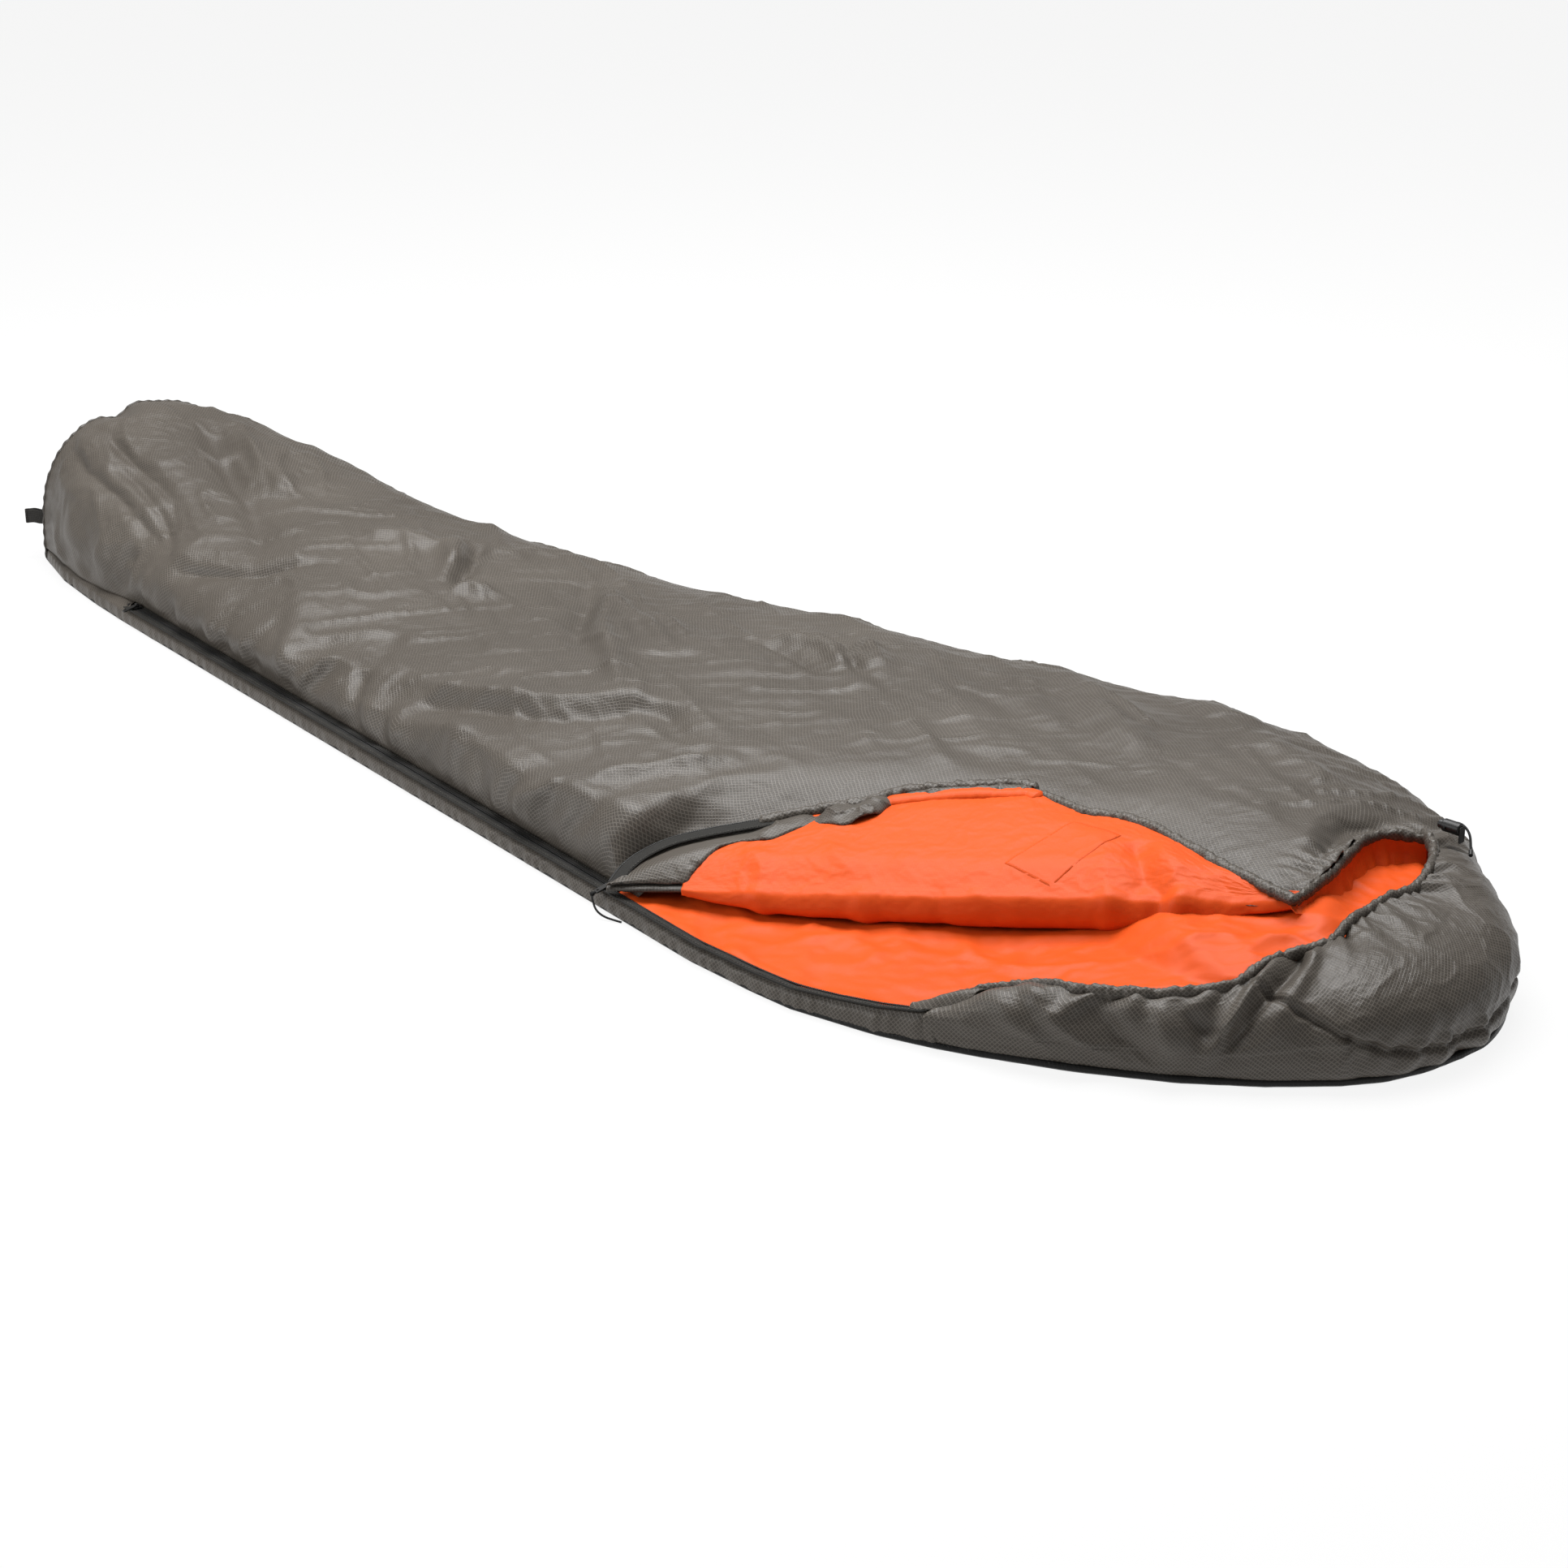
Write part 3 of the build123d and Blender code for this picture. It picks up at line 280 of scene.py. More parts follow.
# ---------------------------------------------------------------- number helpers
def hash01(ix, iy, seed):
    n = ix.astype(np.int64) * 73856093 ^ iy.astype(np.int64) * 19349663 ^ np.int64(seed * 83492791)
    n = (n ^ (n >> 13)) * 1274126177 & 0x7FFFFFFF
    n = (n ^ (n >> 15)) * 2246822519 & 0x7FFFFFFF
    return ((n >> 7) & 0xFFFFF) / float(0xFFFFF)


def value_noise(x, y, seed):
    x, y = np.broadcast_arrays(np.asarray(x, float), np.asarray(y, float))
    x0, y0 = np.floor(x), np.floor(y)
    fx, fy = x - x0, y - y0
    sx, sy = fx ** 3 * (fx * (fx * 6 - 15) + 10), fy ** 3 * (fy * (fy * 6 - 15) + 10)
    a, b = hash01(x0, y0, seed), hash01(x0 + 1, y0, seed)
    c, d = hash01(x0, y0 + 1, seed), hash01(x0 + 1, y0 + 1, seed)
    return 2 * ((a * (1 - sx) + b * sx) * (1 - sy) + (c * (1 - sx) + d * sx) * sy) - 1


def fbm(x, y, size, seed, octaves=3, gain=0.5):
    out, amp, total = 0.0, 1.0, 0.0
    for i in range(octaves):
        k = 2.0 ** i / size
        out = out + amp * value_noise(x * k + 17.3 * i, y * k - 9.1 * i, seed + i)
        total += amp
        amp *= gain
    return out / total


def ridge_noise(x, y, size, seed, sharp=2.0):
    n = 1 - np.abs(fbm(x, y, size, seed, 2))
    return n ** (sharp * 3) - 0.35


def smooth(a, lo, hi):
    t = np.clip((a - lo) / (hi - lo), 0, 1)
    return t * t * (3 - 2 * t)


def smin(a, b, k):
    h = np.clip(0.5 + 0.5 * (b - a) / k, 0, 1)
    return b * (1 - h) + a * h - k * h * (1 - h)


def resample(p, m):
    p = np.asarray(p, float)
    s = np.concatenate([[0], np.cumsum(np.linalg.norm(np.diff(p, axis=0), axis=1))])
    q = np.linspace(0, s[-1], m)
    return np.stack([np.interp(q, s, p[:, i]) for i in range(p.shape[1])], 1)


def spline(points, m, closed=False):
    """Catmull-Rom through the points, m samples evenly spaced."""
    p = np.asarray(points, float)
    q = np.vstack([2 * p[0] - p[1], p, 2 * p[-1] - p[-2]])
    out = []
    for i in range(len(p) - 1):
        t = np.linspace(0, 1, 24, endpoint=i == len(p) - 2)[:, None]
        a, b, c, d = q[i], q[i + 1], q[i + 2], q[i + 3]
        out.append(0.5 * (2 * b + (c - a) * t + (2 * a - 5 * b + 4 * c - d) * t ** 2 + (3 * b - a - 3 * c + d) * t ** 3))
    return resample(np.vstack(out), m)


def kernel(sigma):
    r = max(1, int(3 * sigma))
    k = np.exp(-0.5 * (np.arange(-r, r + 1) / sigma) ** 2)
    return k / k.sum(), r


def blur(a, s0, s1):
    out = a
    for axis, s in ((0, s0), (1, s1)):
        if s < 0.3:
            continue
        k, r = kernel(s)
        pad = [(0, 0)] * out.ndim
        pad[axis] = (r, r)
        e = np.pad(out, pad, mode="edge")
        out = np.apply_along_axis(lambda v: np.convolve(v, k, "valid"), axis, e)
    return out


def grid_normals(p, flip=False):
    n = np.cross(np.gradient(p, axis=0), np.gradient(p, axis=1))
    n /= np.maximum(1e-12, np.linalg.norm(n, axis=2))[..., None]
    return -n if flip else n


def finer(p):
    """Twice as many points each way, on cubic curves."""
    for axis in (0, 1):
        q = np.moveaxis(p, axis, 0)
        e = np.concatenate([2 * q[:1] - q[1:2], q, 2 * q[-1:] - q[-2:-1]])
        mid = (-e[:-3] + 9 * e[1:-2] + 9 * e[2:-1] - e[3:]) / 16
        out = np.empty((2 * q.shape[0] - 1, *q.shape[1:]))
        out[0::2], out[1::2] = q, mid
        p = np.moveaxis(out, 0, axis)
    return p


def lines_near(x, y, pts):
    """Distance to a polyline, its signed side (left positive) and how far along it the nearest point is, 0 to 1."""
    pts = np.asarray(pts, float)
    seg = np.linalg.norm(np.diff(pts, axis=0), axis=1)
    total, run = seg.sum(), 0.0
    best = np.full(np.shape(x), 1e9)
    side, along = np.zeros(np.shape(x)), np.zeros(np.shape(x))
    for (a, b), length in zip(zip(pts[:-1], pts[1:]), seg):
        dx, dy = (b - a) / length
        t = np.clip((x - a[0]) * dx + (y - a[1]) * dy, 0, length)
        ex, ey = x - (a[0] + dx * t), y - (a[1] + dy * t)
        dist = np.hypot(ex, ey)
        hit = dist < best
        best = np.where(hit, dist, best)
        side = np.where(hit, np.sign(dx * ey - dy * ex), side)
        along = np.where(hit, (run + t) / total, along)
        run += length
    return best, side, along


def fold(x, y, pts, height, left, right, fade=0.25):
    """Height of a soft fold along a polyline, of different widths on its two sides."""
    d, side, along = lines_near(x, y, pts)
    w = np.where(side > 0, left, right)
    end = smooth(along, 0, fade) * smooth(1 - along, 0, fade)
    return height * np.exp(-(d / w) ** 1.5) * (0.25 + 0.75 * end)


# ---------------------------------------------------------------- mesh helpers
def mesh_object(name, verts, faces, uv, material, body=None, replaces=()):
    me = bpy.data.meshes.new(name)
    me.vertices.add(len(verts))
    me.vertices.foreach_set("co", np.asarray(verts, np.float32).ravel())
    faces = np.asarray(faces, np.int32)
    me.loops.add(faces.size)
    me.loops.foreach_set("vertex_index", faces.ravel())
    me.polygons.add(len(faces))
    me.polygons.foreach_set("loop_start", np.arange(0, faces.size, faces.shape[1], dtype=np.int32))
    me.update(calc_edges=True)
    layer = me.uv_layers.new(name="weave")
    layer.data.foreach_set("uv", np.asarray(uv, np.float32)[faces.ravel()].ravel())
    me.polygons.foreach_set("use_smooth", np.ones(len(faces), bool))
    me.materials.append(material)
    me.validate()
    o = bpy.data.objects.new(name, me)
    scene.collection.objects.link(o)
    if body:
        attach(o, body)
    if replaces:
        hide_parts(*replaces)
    return o


def cloth_uv(p):
    n, m, _ = p.shape
    c = m // 2
    u = np.concatenate([[0], np.cumsum(np.linalg.norm(np.diff(p[:, c], axis=0), axis=1))])
    v = np.concatenate([np.zeros((n, 1)), np.cumsum(np.linalg.norm(np.diff(p, axis=1), axis=2), axis=1)], 1)
    v = v - v[:, c:c + 1]
    return np.stack([np.repeat(u[:, None], m, 1), v], 2)


def panel(name, p, material, body, replaces=(), thick=0.0008, flip=False, loop=False):
    """A closed thin cloth sheet from a grid of points; flip puts its second side on the other side of the grid."""
    n, m, _ = p.shape
    nr = grid_normals(p, flip)
    if loop:
        nr[:, 0] = nr[:, -1] = (nr[:, 0] + nr[:, -1]) / 2
    inner = p - nr * thick
    idx = np.arange(n * m).reshape(n, m)
    a, b, c, d = idx[:-1, :-1], idx[1:, :-1], idx[1:, 1:], idx[:-1, 1:]
    quads = np.stack([a, b, c, d], 2).reshape(-1, 4)
    if flip:
        quads = quads[:, ::-1]
    back = quads[:, ::-1] + n * m
    edge = []
    ring = np.concatenate([idx[0, :-1], idx[:-1, -1], idx[-1, :0:-1], idx[:0:-1, 0]])
    nxt = np.roll(ring, -1)
    side = np.stack([ring, nxt, nxt + n * m, ring + n * m], 1)
    if flip:
        side = side[:, ::-1]
    faces = np.vstack([quads, back, side])
    uv = cloth_uv(p).reshape(-1, 2)
    return mesh_object(name, np.vstack([p.reshape(-1, 3), inner.reshape(-1, 3)]), faces, np.vstack([uv, uv]), material, body,
                       replaces)


def tube(name, path, radius, material, body, replaces=(), flat=1.0, up=(0, 0, 1), sides=14, rough=None, cap=True):
    """A tube along sampled points; radius is a number or one per point, flat squeezes it across up."""
    path = np.asarray(path, float)
    n = len(path)
    r = np.broadcast_to(np.asarray(radius, float), (n,)).copy()
    t = np.gradient(path, axis=0)
    t /= np.maximum(1e-9, np.linalg.norm(t, axis=1))[:, None]
    upv = np.asarray(up, float)
    if upv.ndim == 1:
        upv = np.broadcast_to(upv, (n, 3))
    side = np.cross(t, upv)
    side /= np.maximum(1e-9, np.linalg.norm(side, axis=1))[:, None]
    u2 = np.cross(side, t)
    ang = np.linspace(0, 2 * math.pi, sides, endpoint=False)
    ring = np.cos(ang)[None, :, None] * side[:, None] * flat + np.sin(ang)[None, :, None] * u2[:, None]
    rr = r[:, None] if rough is None else r[:, None] * (1 + rough(np.arange(n)[:, None], ang[None, :]))
    v = path[:, None] + ring * rr[..., None]
    verts = [v.reshape(-1, 3), path[:1], path[-1:]]
    idx = np.arange(n * sides).reshape(n, sides)
    j = np.roll(idx, -1, 1)
    faces = np.stack([idx[:-1], j[:-1], j[1:], idx[1:]], 2).reshape(-1, 4)
    s = np.concatenate([[0], np.cumsum(np.linalg.norm(np.diff(path, axis=0), axis=1))])
    uv = np.stack([np.repeat(s[:, None], sides, 1), np.repeat((ang * float(np.mean(r)))[None], n, 0)], 2).reshape(-1, 2)
    verts = np.vstack(verts)
    uv = np.vstack([uv, [[0, 0]], [[s[-1], 0]]])
    c0, c1 = n * sides, n * sides + 1
    ends = []
    for k in range(0, sides, 2):
        ends.append([c0, idx[0, (k + 2) % sides], idx[0, (k + 1) % sides], idx[0, k]])
        ends.append([c1, idx[-1, k], idx[-1, (k + 1) % sides], idx[-1, (k + 2) % sides]])
    return mesh_object(name, verts, np.vstack([faces, ends]), uv, material, body, replaces)


def stitches(name, path, material, body, length=0.0026, gap=0.0013, radius=0.00035, up=(0, 0, 1)):
    """A sewn line: short raised threads along the path, one closed form each."""
    path = np.asarray(path, float)
    s = np.concatenate([[0], np.cumsum(np.linalg.norm(np.diff(path, axis=0), axis=1))])
    n = int(s[-1] / (length + gap))
    verts, faces = [], []
    up = np.asarray(up, float)
    for i in range(n):
        a, b = i * (length + gap), i * (length + gap) + length
        p = np.array([[np.interp(q, s, path[:, k]) for k in range(3)] for q in (a, b)])
        d = p[1] - p[0]
        d /= max(1e-9, np.linalg.norm(d))
        w = np.cross(d, up)
        w /= max(1e-9, np.linalg.norm(w))
        h = np.cross(w, d)
        base = len(verts)
        for q, e in ((p[0], 0.6), (p[0] + d * length * 0.2, 1.0), (p[1] - d * length * 0.2, 1.0), (p[1], 0.6)):
            for cx, cy in ((1, 0), (0, 1), (-1, 0), (0, -1)):
                verts.append(q + w * cx * radius * e + h * cy * radius * e)
        for k in range(3):
            for j in range(4):
                faces.append([base + 4 * k + j, base + 4 * k + (j + 1) % 4, base + 4 * k + 4 + (j + 1) % 4, base + 4 * k + 4 + j])
        faces.append([base + 3, base + 2, base + 1, base])
        faces.append([base + 12, base + 13, base + 14, base + 15])
    uv = np.array(verts)[:, :2]
    return mesh_object(name, np.array(verts), faces, uv, material, body)


def wrinkle(p, pin, grow, frames=22, cap=0.007, low=0.35, blur_cells=7, seed=1, jitter=0.0004, bend=0.02, weight=None,
            flip=False):
    """Cloth simulation of a sewn panel whose fabric is a little larger than its place: returns the buckled grid.
    pin and grow are per point, grow as a share of length; the broad part of the movement is mostly taken out."""
    n, m, _ = p.shape
    nr = grid_normals(p, flip)
    q = p + nr * (jitter * fbm(*np.meshgrid(np.arange(m) * 1.0, np.arange(n) * 1.0), 4.0, seed, 2))[..., None]
    idx = np.arange(n * m).reshape(n, m)
    faces = np.stack([idx[:-1, :-1], idx[1:, :-1], idx[1:, 1:], idx[:-1, 1:]], 2).reshape(-1, 4)
    o = mesh_object("cloth_work", q.reshape(-1, 3), faces, np.zeros((n * m, 2)), M_SHELL)
    top = float(np.max(grow))
    gp, gs = o.vertex_groups.new(name="pin"), o.vertex_groups.new(name="size")
    pins = np.round(np.clip(pin, 0, 1).ravel(), 2)
    for v in np.unique(pins):
        if v > 0:
            gp.add(np.nonzero(pins == v)[0].tolist(), float(v), "REPLACE")
    sizes = np.round(np.clip(grow / top, 0, 1).ravel() * 20) / 20
    for v in np.unique(sizes):
        if v > 0:
            gs.add(np.nonzero(sizes == v)[0].tolist(), float(v), "REPLACE")
    mod = o.modifiers.new("cloth", "CLOTH")
    c = mod.settings
    c.quality = 5
    c.mass = 0.05
    c.tension_stiffness = 12
    c.compression_stiffness = 12
    c.shear_stiffness = 4
    c.bending_stiffness = bend
    c.tension_damping = 5
    c.compression_damping = 5
    c.shear_damping = 5
    c.bending_damping = 0.5
    c.air_damping = 2.0
    c.vertex_group_mass = "pin"
    c.pin_stiffness = 1.0
    c.vertex_group_shrink = "size"
    c.shrink_min = 0.0
    c.shrink_max = -top
    c.effector_weights.gravity = 0.0
    mod.collision_settings.use_collision = False
    mod.collision_settings.use_self_collision = False
    mod.point_cache.frame_start = 1
    mod.point_cache.frame_end = frames
    for f in range(1, frames + 1):
        scene.frame_set(f)
    ev = o.evaluated_get(bpy.context.evaluated_depsgraph_get())
    out = np.empty(n * m * 3, np.float32)
    ev.data.vertices.foreach_get("co", out)
    out = out.reshape(n, m, 3).astype(float)
    me = o.data
    bpy.data.objects.remove(o)
    bpy.data.meshes.remove(me)
    scene.frame_set(1)
    if not np.isfinite(out).all():
        return p
    d = out - p
    broad = blur(d, blur_cells, blur_cells)
    d = d - (1 - low) * broad
    size = np.linalg.norm(d, axis=2)
    d *= (np.tanh(size / cap) * cap / np.maximum(size, 1e-9))[..., None]
    edge = 1.0 if weight is None else weight[..., None]
    return p + d * edge


# ---------------------------------------------------------------- outline and fold line
HW = [(-1.100, .160), (-1.096, .162), (-1.0, .195), (-.9, .216), (-.814, .230), (-.591, .2604), (-.22, .3111), (.066, .3501),
      (.272, .3782), (.431, .3999), (.52, .404), (.574, .404), (.668, .386), (.72, .369), (.761, .352), (.845, .311),
      (.925, .261), (.986, .21), (1.032, .161), (1.056, .125), (1.07, .085), (1.077, .04), (1.079, 0)]
_x = np.linspace(-1.1, 1.08, 260)
_w = np.convolve(np.pad(np.interp(_x, [a for a, b in HW], [b for a, b in HW]), 6, "edge"), np.ones(13) / 13, "valid")


def half(x):
    return np.interp(x, _x, _w)


KX = [-1.10, -1.05, -0.95, -0.85, -0.75, -0.6, -0.3, 0.0, 0.3, 0.55, 0.75, 0.9]
KH = [0.1799, 0.1933, 0.1739, 0.1523, 0.1304, 0.119, 0.0873, 0.101, 0.1017, 0.1071, 0.1223, 0.1067]
KN = [2.45, 2.29, 2.23, 2.51, 2.32, 1.9, 2.56, 2.45, 3.06, 3.36, 2.57, 2.55]
_kx = np.linspace(-1.1, 0.9, 201)
_kh = blur(np.interp(_kx, KX, KH)[:, None], 3.0, 0)[:, 0]
_kn = blur(np.interp(_kx, KX, KN)[:, None], 5.0, 0)[:, 0]


def setback(x):
    return np.interp(x, [-1.1, -0.95, -0.88, -0.80], [0.004, 0.005, 0.010, 0.020])


def near_foot(x):
    return np.interp(x, [-1.1, -0.9, -0.8], [0.0175, 0.019, 0.0225])


A3 = np.array([0.300, -0.385, 0.030])
U3 = np.array([0.85549, 0.50887, 0.09587])
M3 = np.array([0.00763, -0.19751, 0.98027])
V3 = np.cross(M3, U3)
FOLD_LEN = 0.678


def on_flap(s, d, z):
    s, d, z = np.broadcast_arrays(s, d, z)
    return A3 + U3 * s[..., None] + V3 * d[..., None] + M3 * z[..., None]


def plane_z(x, y):
    return A3[2] - (M3[0] * (x - A3[0]) + M3[1] * (y - A3[1])) / M3[2]


def fold_sd(x, y):
    ux, uy = 0.8595, 0.5113
    return (x - A3[0]) * ux + (y - A3[1]) * uy, -(x - A3[0]) * uy + (y - A3[1]) * ux


# free edge of the flap, along and away from the fold line
EDGE_AC = [(-0.004, 0.000), (0.004, 0.022), (0.017, 0.050), (0.045, 0.078), (0.075, 0.094), (0.103, 0.105), (0.135, 0.117),
           (0.170, 0.134), (0.217, 0.151), (0.271, 0.176), (0.321, 0.186), (0.385, 0.192), (0.403, 0.186)]
EDGE_CB = [(0.403, 0.186), (0.428, 0.166), (0.463, 0.146), (0.505, 0.134), (0.550, 0.104), (0.600, 0.058), (0.640, 0.028),
           (0.684, -0.004)]
_ac, _cb = spline(EDGE_AC, 120), spline(EDGE_CB, 80)
_edge = np.vstack([_ac, _cb[1:]])


def top_z(x, y):
    w = half(x)
    h, nf = np.interp(x, _kx, _kh), np.interp(x, _kx, _kn)
    far = 0.003 + (h - 0.003) * np.maximum(0, 1 - np.minimum(1, np.abs(y) / w) ** nf) ** (1 / nf)
    a, f = w - setback(x), near_foot(x)
    near = f + (h - f) * np.maximum(0, 1 - np.minimum(1, np.abs(y) / a) ** 2.7) ** (1 / 2.7)
    return np.where(y > 0, far, near)


def under_flap(x, y):
    """Height that the top panel keeps to under the turned-back corner."""
    s, d = fold_sd(x, y)
    dist, side, along = lines_near(s, d, _edge[::4])
    inside = (side < 0)
    beyond = np.where(inside, -dist, dist)
    beyond = np.where((d < 0) & (s > 0) & (s < 0.68), -np.abs(d), beyond)
    slope = np.interp(s, [0.0, 0.06, 0.16, 0.36, 0.50], [0.75, 0.60, 0.40, 0.30, 0.22])
    return plane_z(x, y) - 0.0035 + slope * np.maximum(0, beyond - 0.004)


CREASES = [
    # polyline in plan, height, width on its left, width on its right
    ([(-1.019, .062), (-.918, .004), (-.823, -.037), (-.715, -.082), (-.641, -.139), (-.622, -.17)], -0.010, 0.045, 0.040),
    ([(-.944, .054), (-.871, .035), (-.788, .006), (-.761, .04)], 0.007, 0.045, 0.020),
    ([(-.589, -.019), (-.567, .015), (-.531, .038), (-.518, .064)], 0.008, 0.050, 0.022),
    ([(-.519, .062), (-.473, .038), (-.433, .016)], 0.006, 0.030, 0.018),
    ([(-.501, .115), (-.449, .052), (-.389, -.026)], -0.009, 0.016, 0.014),
    ([(-.515, .085), (-.470, .045), (-.410, -.030)], 0.006, 0.014, 0.016),
    ([(-.377, -.044), (-.384, -.011), (-.361, -.008), (-.378, .015)], 0.006, 0.014, 0.014),
    ([(-.284, .151), (-.215, .068), (-.143, -.004), (-.076, -.05), (-.005, -.103), (.057, -.146)], 0.009, 0.026, 0.018),
    ([(-.300, .125), (-.235, .050), (-.165, -.020), (-.100, -.065)], -0.007, 0.018, 0.022),
    ([(-.191, .087), (-.129, .058), (-.039, .012)], 0.004, 0.014, 0.014),
    ([(-.159, .083), (-.123, .084), (-.06, .055)], 0.005, 0.012, 0.008),
    ([(.006, .112), (.036, .129), (.093, .128), (.165, .094)], 0.008, 0.020, 0.010),
    ([(.010, .100), (.070, .098), (.140, .070)], -0.005, 0.012, 0.012),
    ([(.088, .133), (.128, .137), (.188, .111)], 0.006, 0.014, 0.009),
    ([(.079, .201), (.144, .157), (.2, .116)], 0.007, 0.016, 0.010),
    ([(.060, .180), (.120, .140), (.180, .095)], -0.005, 0.010, 0.012),
    ([(-.217, -.261), (-.168, -.255), (-.04, -.224), (.041, -.187), (.08, -.136), (.114, -.132), (.136, -.148), (.209, -.181)],
     -0.008, 0.020, 0.030),
    ([(-.25, -.235), (-.10, -.215), (.00, -.180), (.06, -.130), (.115, -.112), (.160, -.135)], 0.006, 0.030, 0.016),
    ([(-.164, -.285), (-.105, -.284), (-.015, -.29), (.069, -.308), (.122, -.311), (.175, -.313), (.24, -.315), (.306, -.311)],
     0.009, 0.030, 0.020),
    ([(.105, -.358), (.102, -.333), (.132, -.323), (.161, -.321)], 0.006, 0.012, 0.012),
    ([(.167, -.307), (.177, -.28), (.208, -.243), (.234, -.199), (.233, -.163)], 0.008, 0.016, 0.022),
    ([(-.746, -.197), (-.699, -.201), (-.617, -.164), (-.568, -.106), (-.545, -.085)], -0.009, 0.014, 0.018),
    ([(-.814, -.204), (-.836, -.206), (-.82, -.222)], -0.006, 0.008, 0.008),
    ([(-.828, -.204), (-.772, -.215), (-.735, -.221)], 0.007, 0.010, 0.010),
    ([(-.345, -.234), (-.363, -.261), (-.393, -.282)], 0.007, 0.010, 0.010),
    ([(-.73, -.221), (-.646, -.233), (-.505, -.249), (-.397, -.259), (-.341, -.237), (-.259, -.239)], 0.008, 0.022, 0.014),
    ([(-1.088, -.118), (-.99, -.150), (-.883, -.165), (-.761, -.190)], -0.005, 0.012, 0.012),
    ([(-.98, -.125), (-.893, -.135), (-.81, -.158), (-.75, -.190)], -0.006, 0.012, 0.012),
    ([(-1.06, -.095), (-.93, -.110), (-.84, -.125), (-.76, -.165)], -0.006, 0.014, 0.012),
    ([(-.14, .330), (.16, .190), (.32, .105), (.475, .011)], 0.004, 0.040, 0.030),
    ([(.22, .320), (.372, .263), (.557, .122), (.62, .071)], 0.006, 0.045, 0.035),
    ([(.40, .365), (.516, .312), (.691, .224), (.806, .205)], 0.005, 0.040, 0.030),
    ([(.862, -.03), (.855, .026), (.840, .078), (.828, .120), (.838, .165), (.835, .200)], -0.0055, 0.010, 0.010),
    ([(.838, -.03), (.830, .030), (.812, .082), (.800, .130), (.806, .180), (.800, .230)], 0.0040, 0.022, 0.016),
    ([(.700, .050), (.780, .030), (.845, .010)], -0.006, 0.016, 0.020),
    ([(-.60, .19), (-.52, .15), (-.47, .10)], 0.005, 0.020, 0.016),
    ([(-.35, .20), (-.30, .10), (-.28, .03)], -0.004, 0.020, 0.020),
    ([(.30, .05), (.40, -.02), (.46, -.05)], 0.004, 0.025, 0.020),
]


def crease_field(x, y):
    out = np.zeros(np.shape(x))
    for pts, h, lf, rt in CREASES:
        out += fold(x, y, spline(pts, 22), 1.65 * h, 0.88 * lf, 0.88 * rt)
    return out


# ---------------------------------------------------------------- top panel
def top_grid(n, m):
    xs = np.linspace(-1.0955, 0.866, n)
    rows = []
    th = np.linspace(0, math.pi / 2, 90)
    for x in xs:
        w = float(half(x))
        nf = float(np.interp(x, _kx, _kn))
        a = w - float(setback(x))
        yf = w * np.sin(th) ** (2 / nf) if nf else None
        far_y = w * (1 - np.cos(th) ** (2 / nf)) if False else w * np.sin(th) ** (2 / nf)
        near_y = -a * np.sin(th) ** (2 / 2.7)
        y = np.concatenate([near_y[::-1], far_y[1:]])
        z = top_z(x, y)
        y_fold = A3[1] + (x - A3[0]) * 0.5113 / 0.8595
        start = max(-a, y_fold + 0.0045)
        if x > 0.20:
            lim = under_flap(np.full(len(y), x), y) + 0.10 * (1 - float(smooth(np.array(x), 0.20, 0.29)))
            z = smin(z, lim, 0.016 * float(smooth(np.array(x), 0.20, 0.30)) + 0.0005)
        keep = y > start - 1e-6
        yy, zz = y[keep], z[keep]
        if start > -a + 1e-4:
            zz = np.concatenate([[float(plane_z(x, start)) - 0.0035], zz])
            yy = np.concatenate([[start], yy])
        rows.append(resample(np.stack([yy, zz], 1), m))
    r = np.array(rows)
    p = np.concatenate([np.repeat(xs[:, None], m, 1)[..., None], r], 2)
    # the head end follows the collar
    y = p[..., 1]
    end = 0.005 + np.interp(y, [-0.06, -0.04, 0.026, 0.055, 0.080, 0.105, 0.125, 0.152, 0.176, 0.21, 0.34],
                    [0.879, 0.878, 0.871, 0.863, 0.853, 0.846, 0.844, 0.856, 0.872, 0.871, 0.866])
    p[..., 0] += (end - 0.866) * smooth(p[..., 0], 0.74, 0.866)
    dip = 0.0095 * np.exp(-((y + 0.036 + 0.25 * (p[..., 0] + 1.0955)) / 0.019) ** 2) - 0.004 * np.exp(-((y + 0.004) / 0.022) ** 2)
    p[..., 2] -= dip * np.exp(-((p[..., 0] + 1.0955) / 0.070) ** 2) * smooth(p[..., 2], 0.08, 0.14)
    return p


def soft_detail(x, y):
    """Broad slack of the fabric, over and between the authored folds."""
    d = 0.0050 * fbm(x * 0.9 + y * 0.5, y * 1.1 - x * 0.35, 0.16, 11, 3)
    part = 0.5 + 0.5 * np.clip(1.6 * fbm(x, y, 0.22, 61, 2), -1, 1)
    d += 0.0078 * part * ridge_noise((0.90 * x - 0.44 * y) * 0.34, 0.44 * x + 0.90 * y, 0.062, 23)
    d += 0.0060 * (1 - part) * ridge_noise((0.62 * x + 0.78 * y) * 0.38, 0.62 * y - 0.78 * x, 0.050, 31)
    return d


def zip_gathers(x, dist, seed=5, rate=0.030, amp=0.0045, reach=0.070, wide=1.0):
    """Slanted pleats that run up from a sewn zip edge; dist is the distance from that edge."""
    rng = np.random.RandomState(seed)
    out = np.zeros(np.shape(x))
    at = -1.09
    while at < 0.9:
        w = wide * rng.uniform(0.007, 0.016)
        h = amp * rng.uniform(0.3, 1.2) * rng.choice([1, 1, -1])
        slant = rng.uniform(-0.9, 0.5)
        r = reach * rng.uniform(0.5, 1.3)
        c = at + slant * dist
        out += h * np.exp(-((x - c) / (w * (1 + 1.2 * dist / reach))) ** 2) * np.exp(-(dist / r) ** 2)
        at += rate * rng.uniform(0.5, 1.6)
    return out


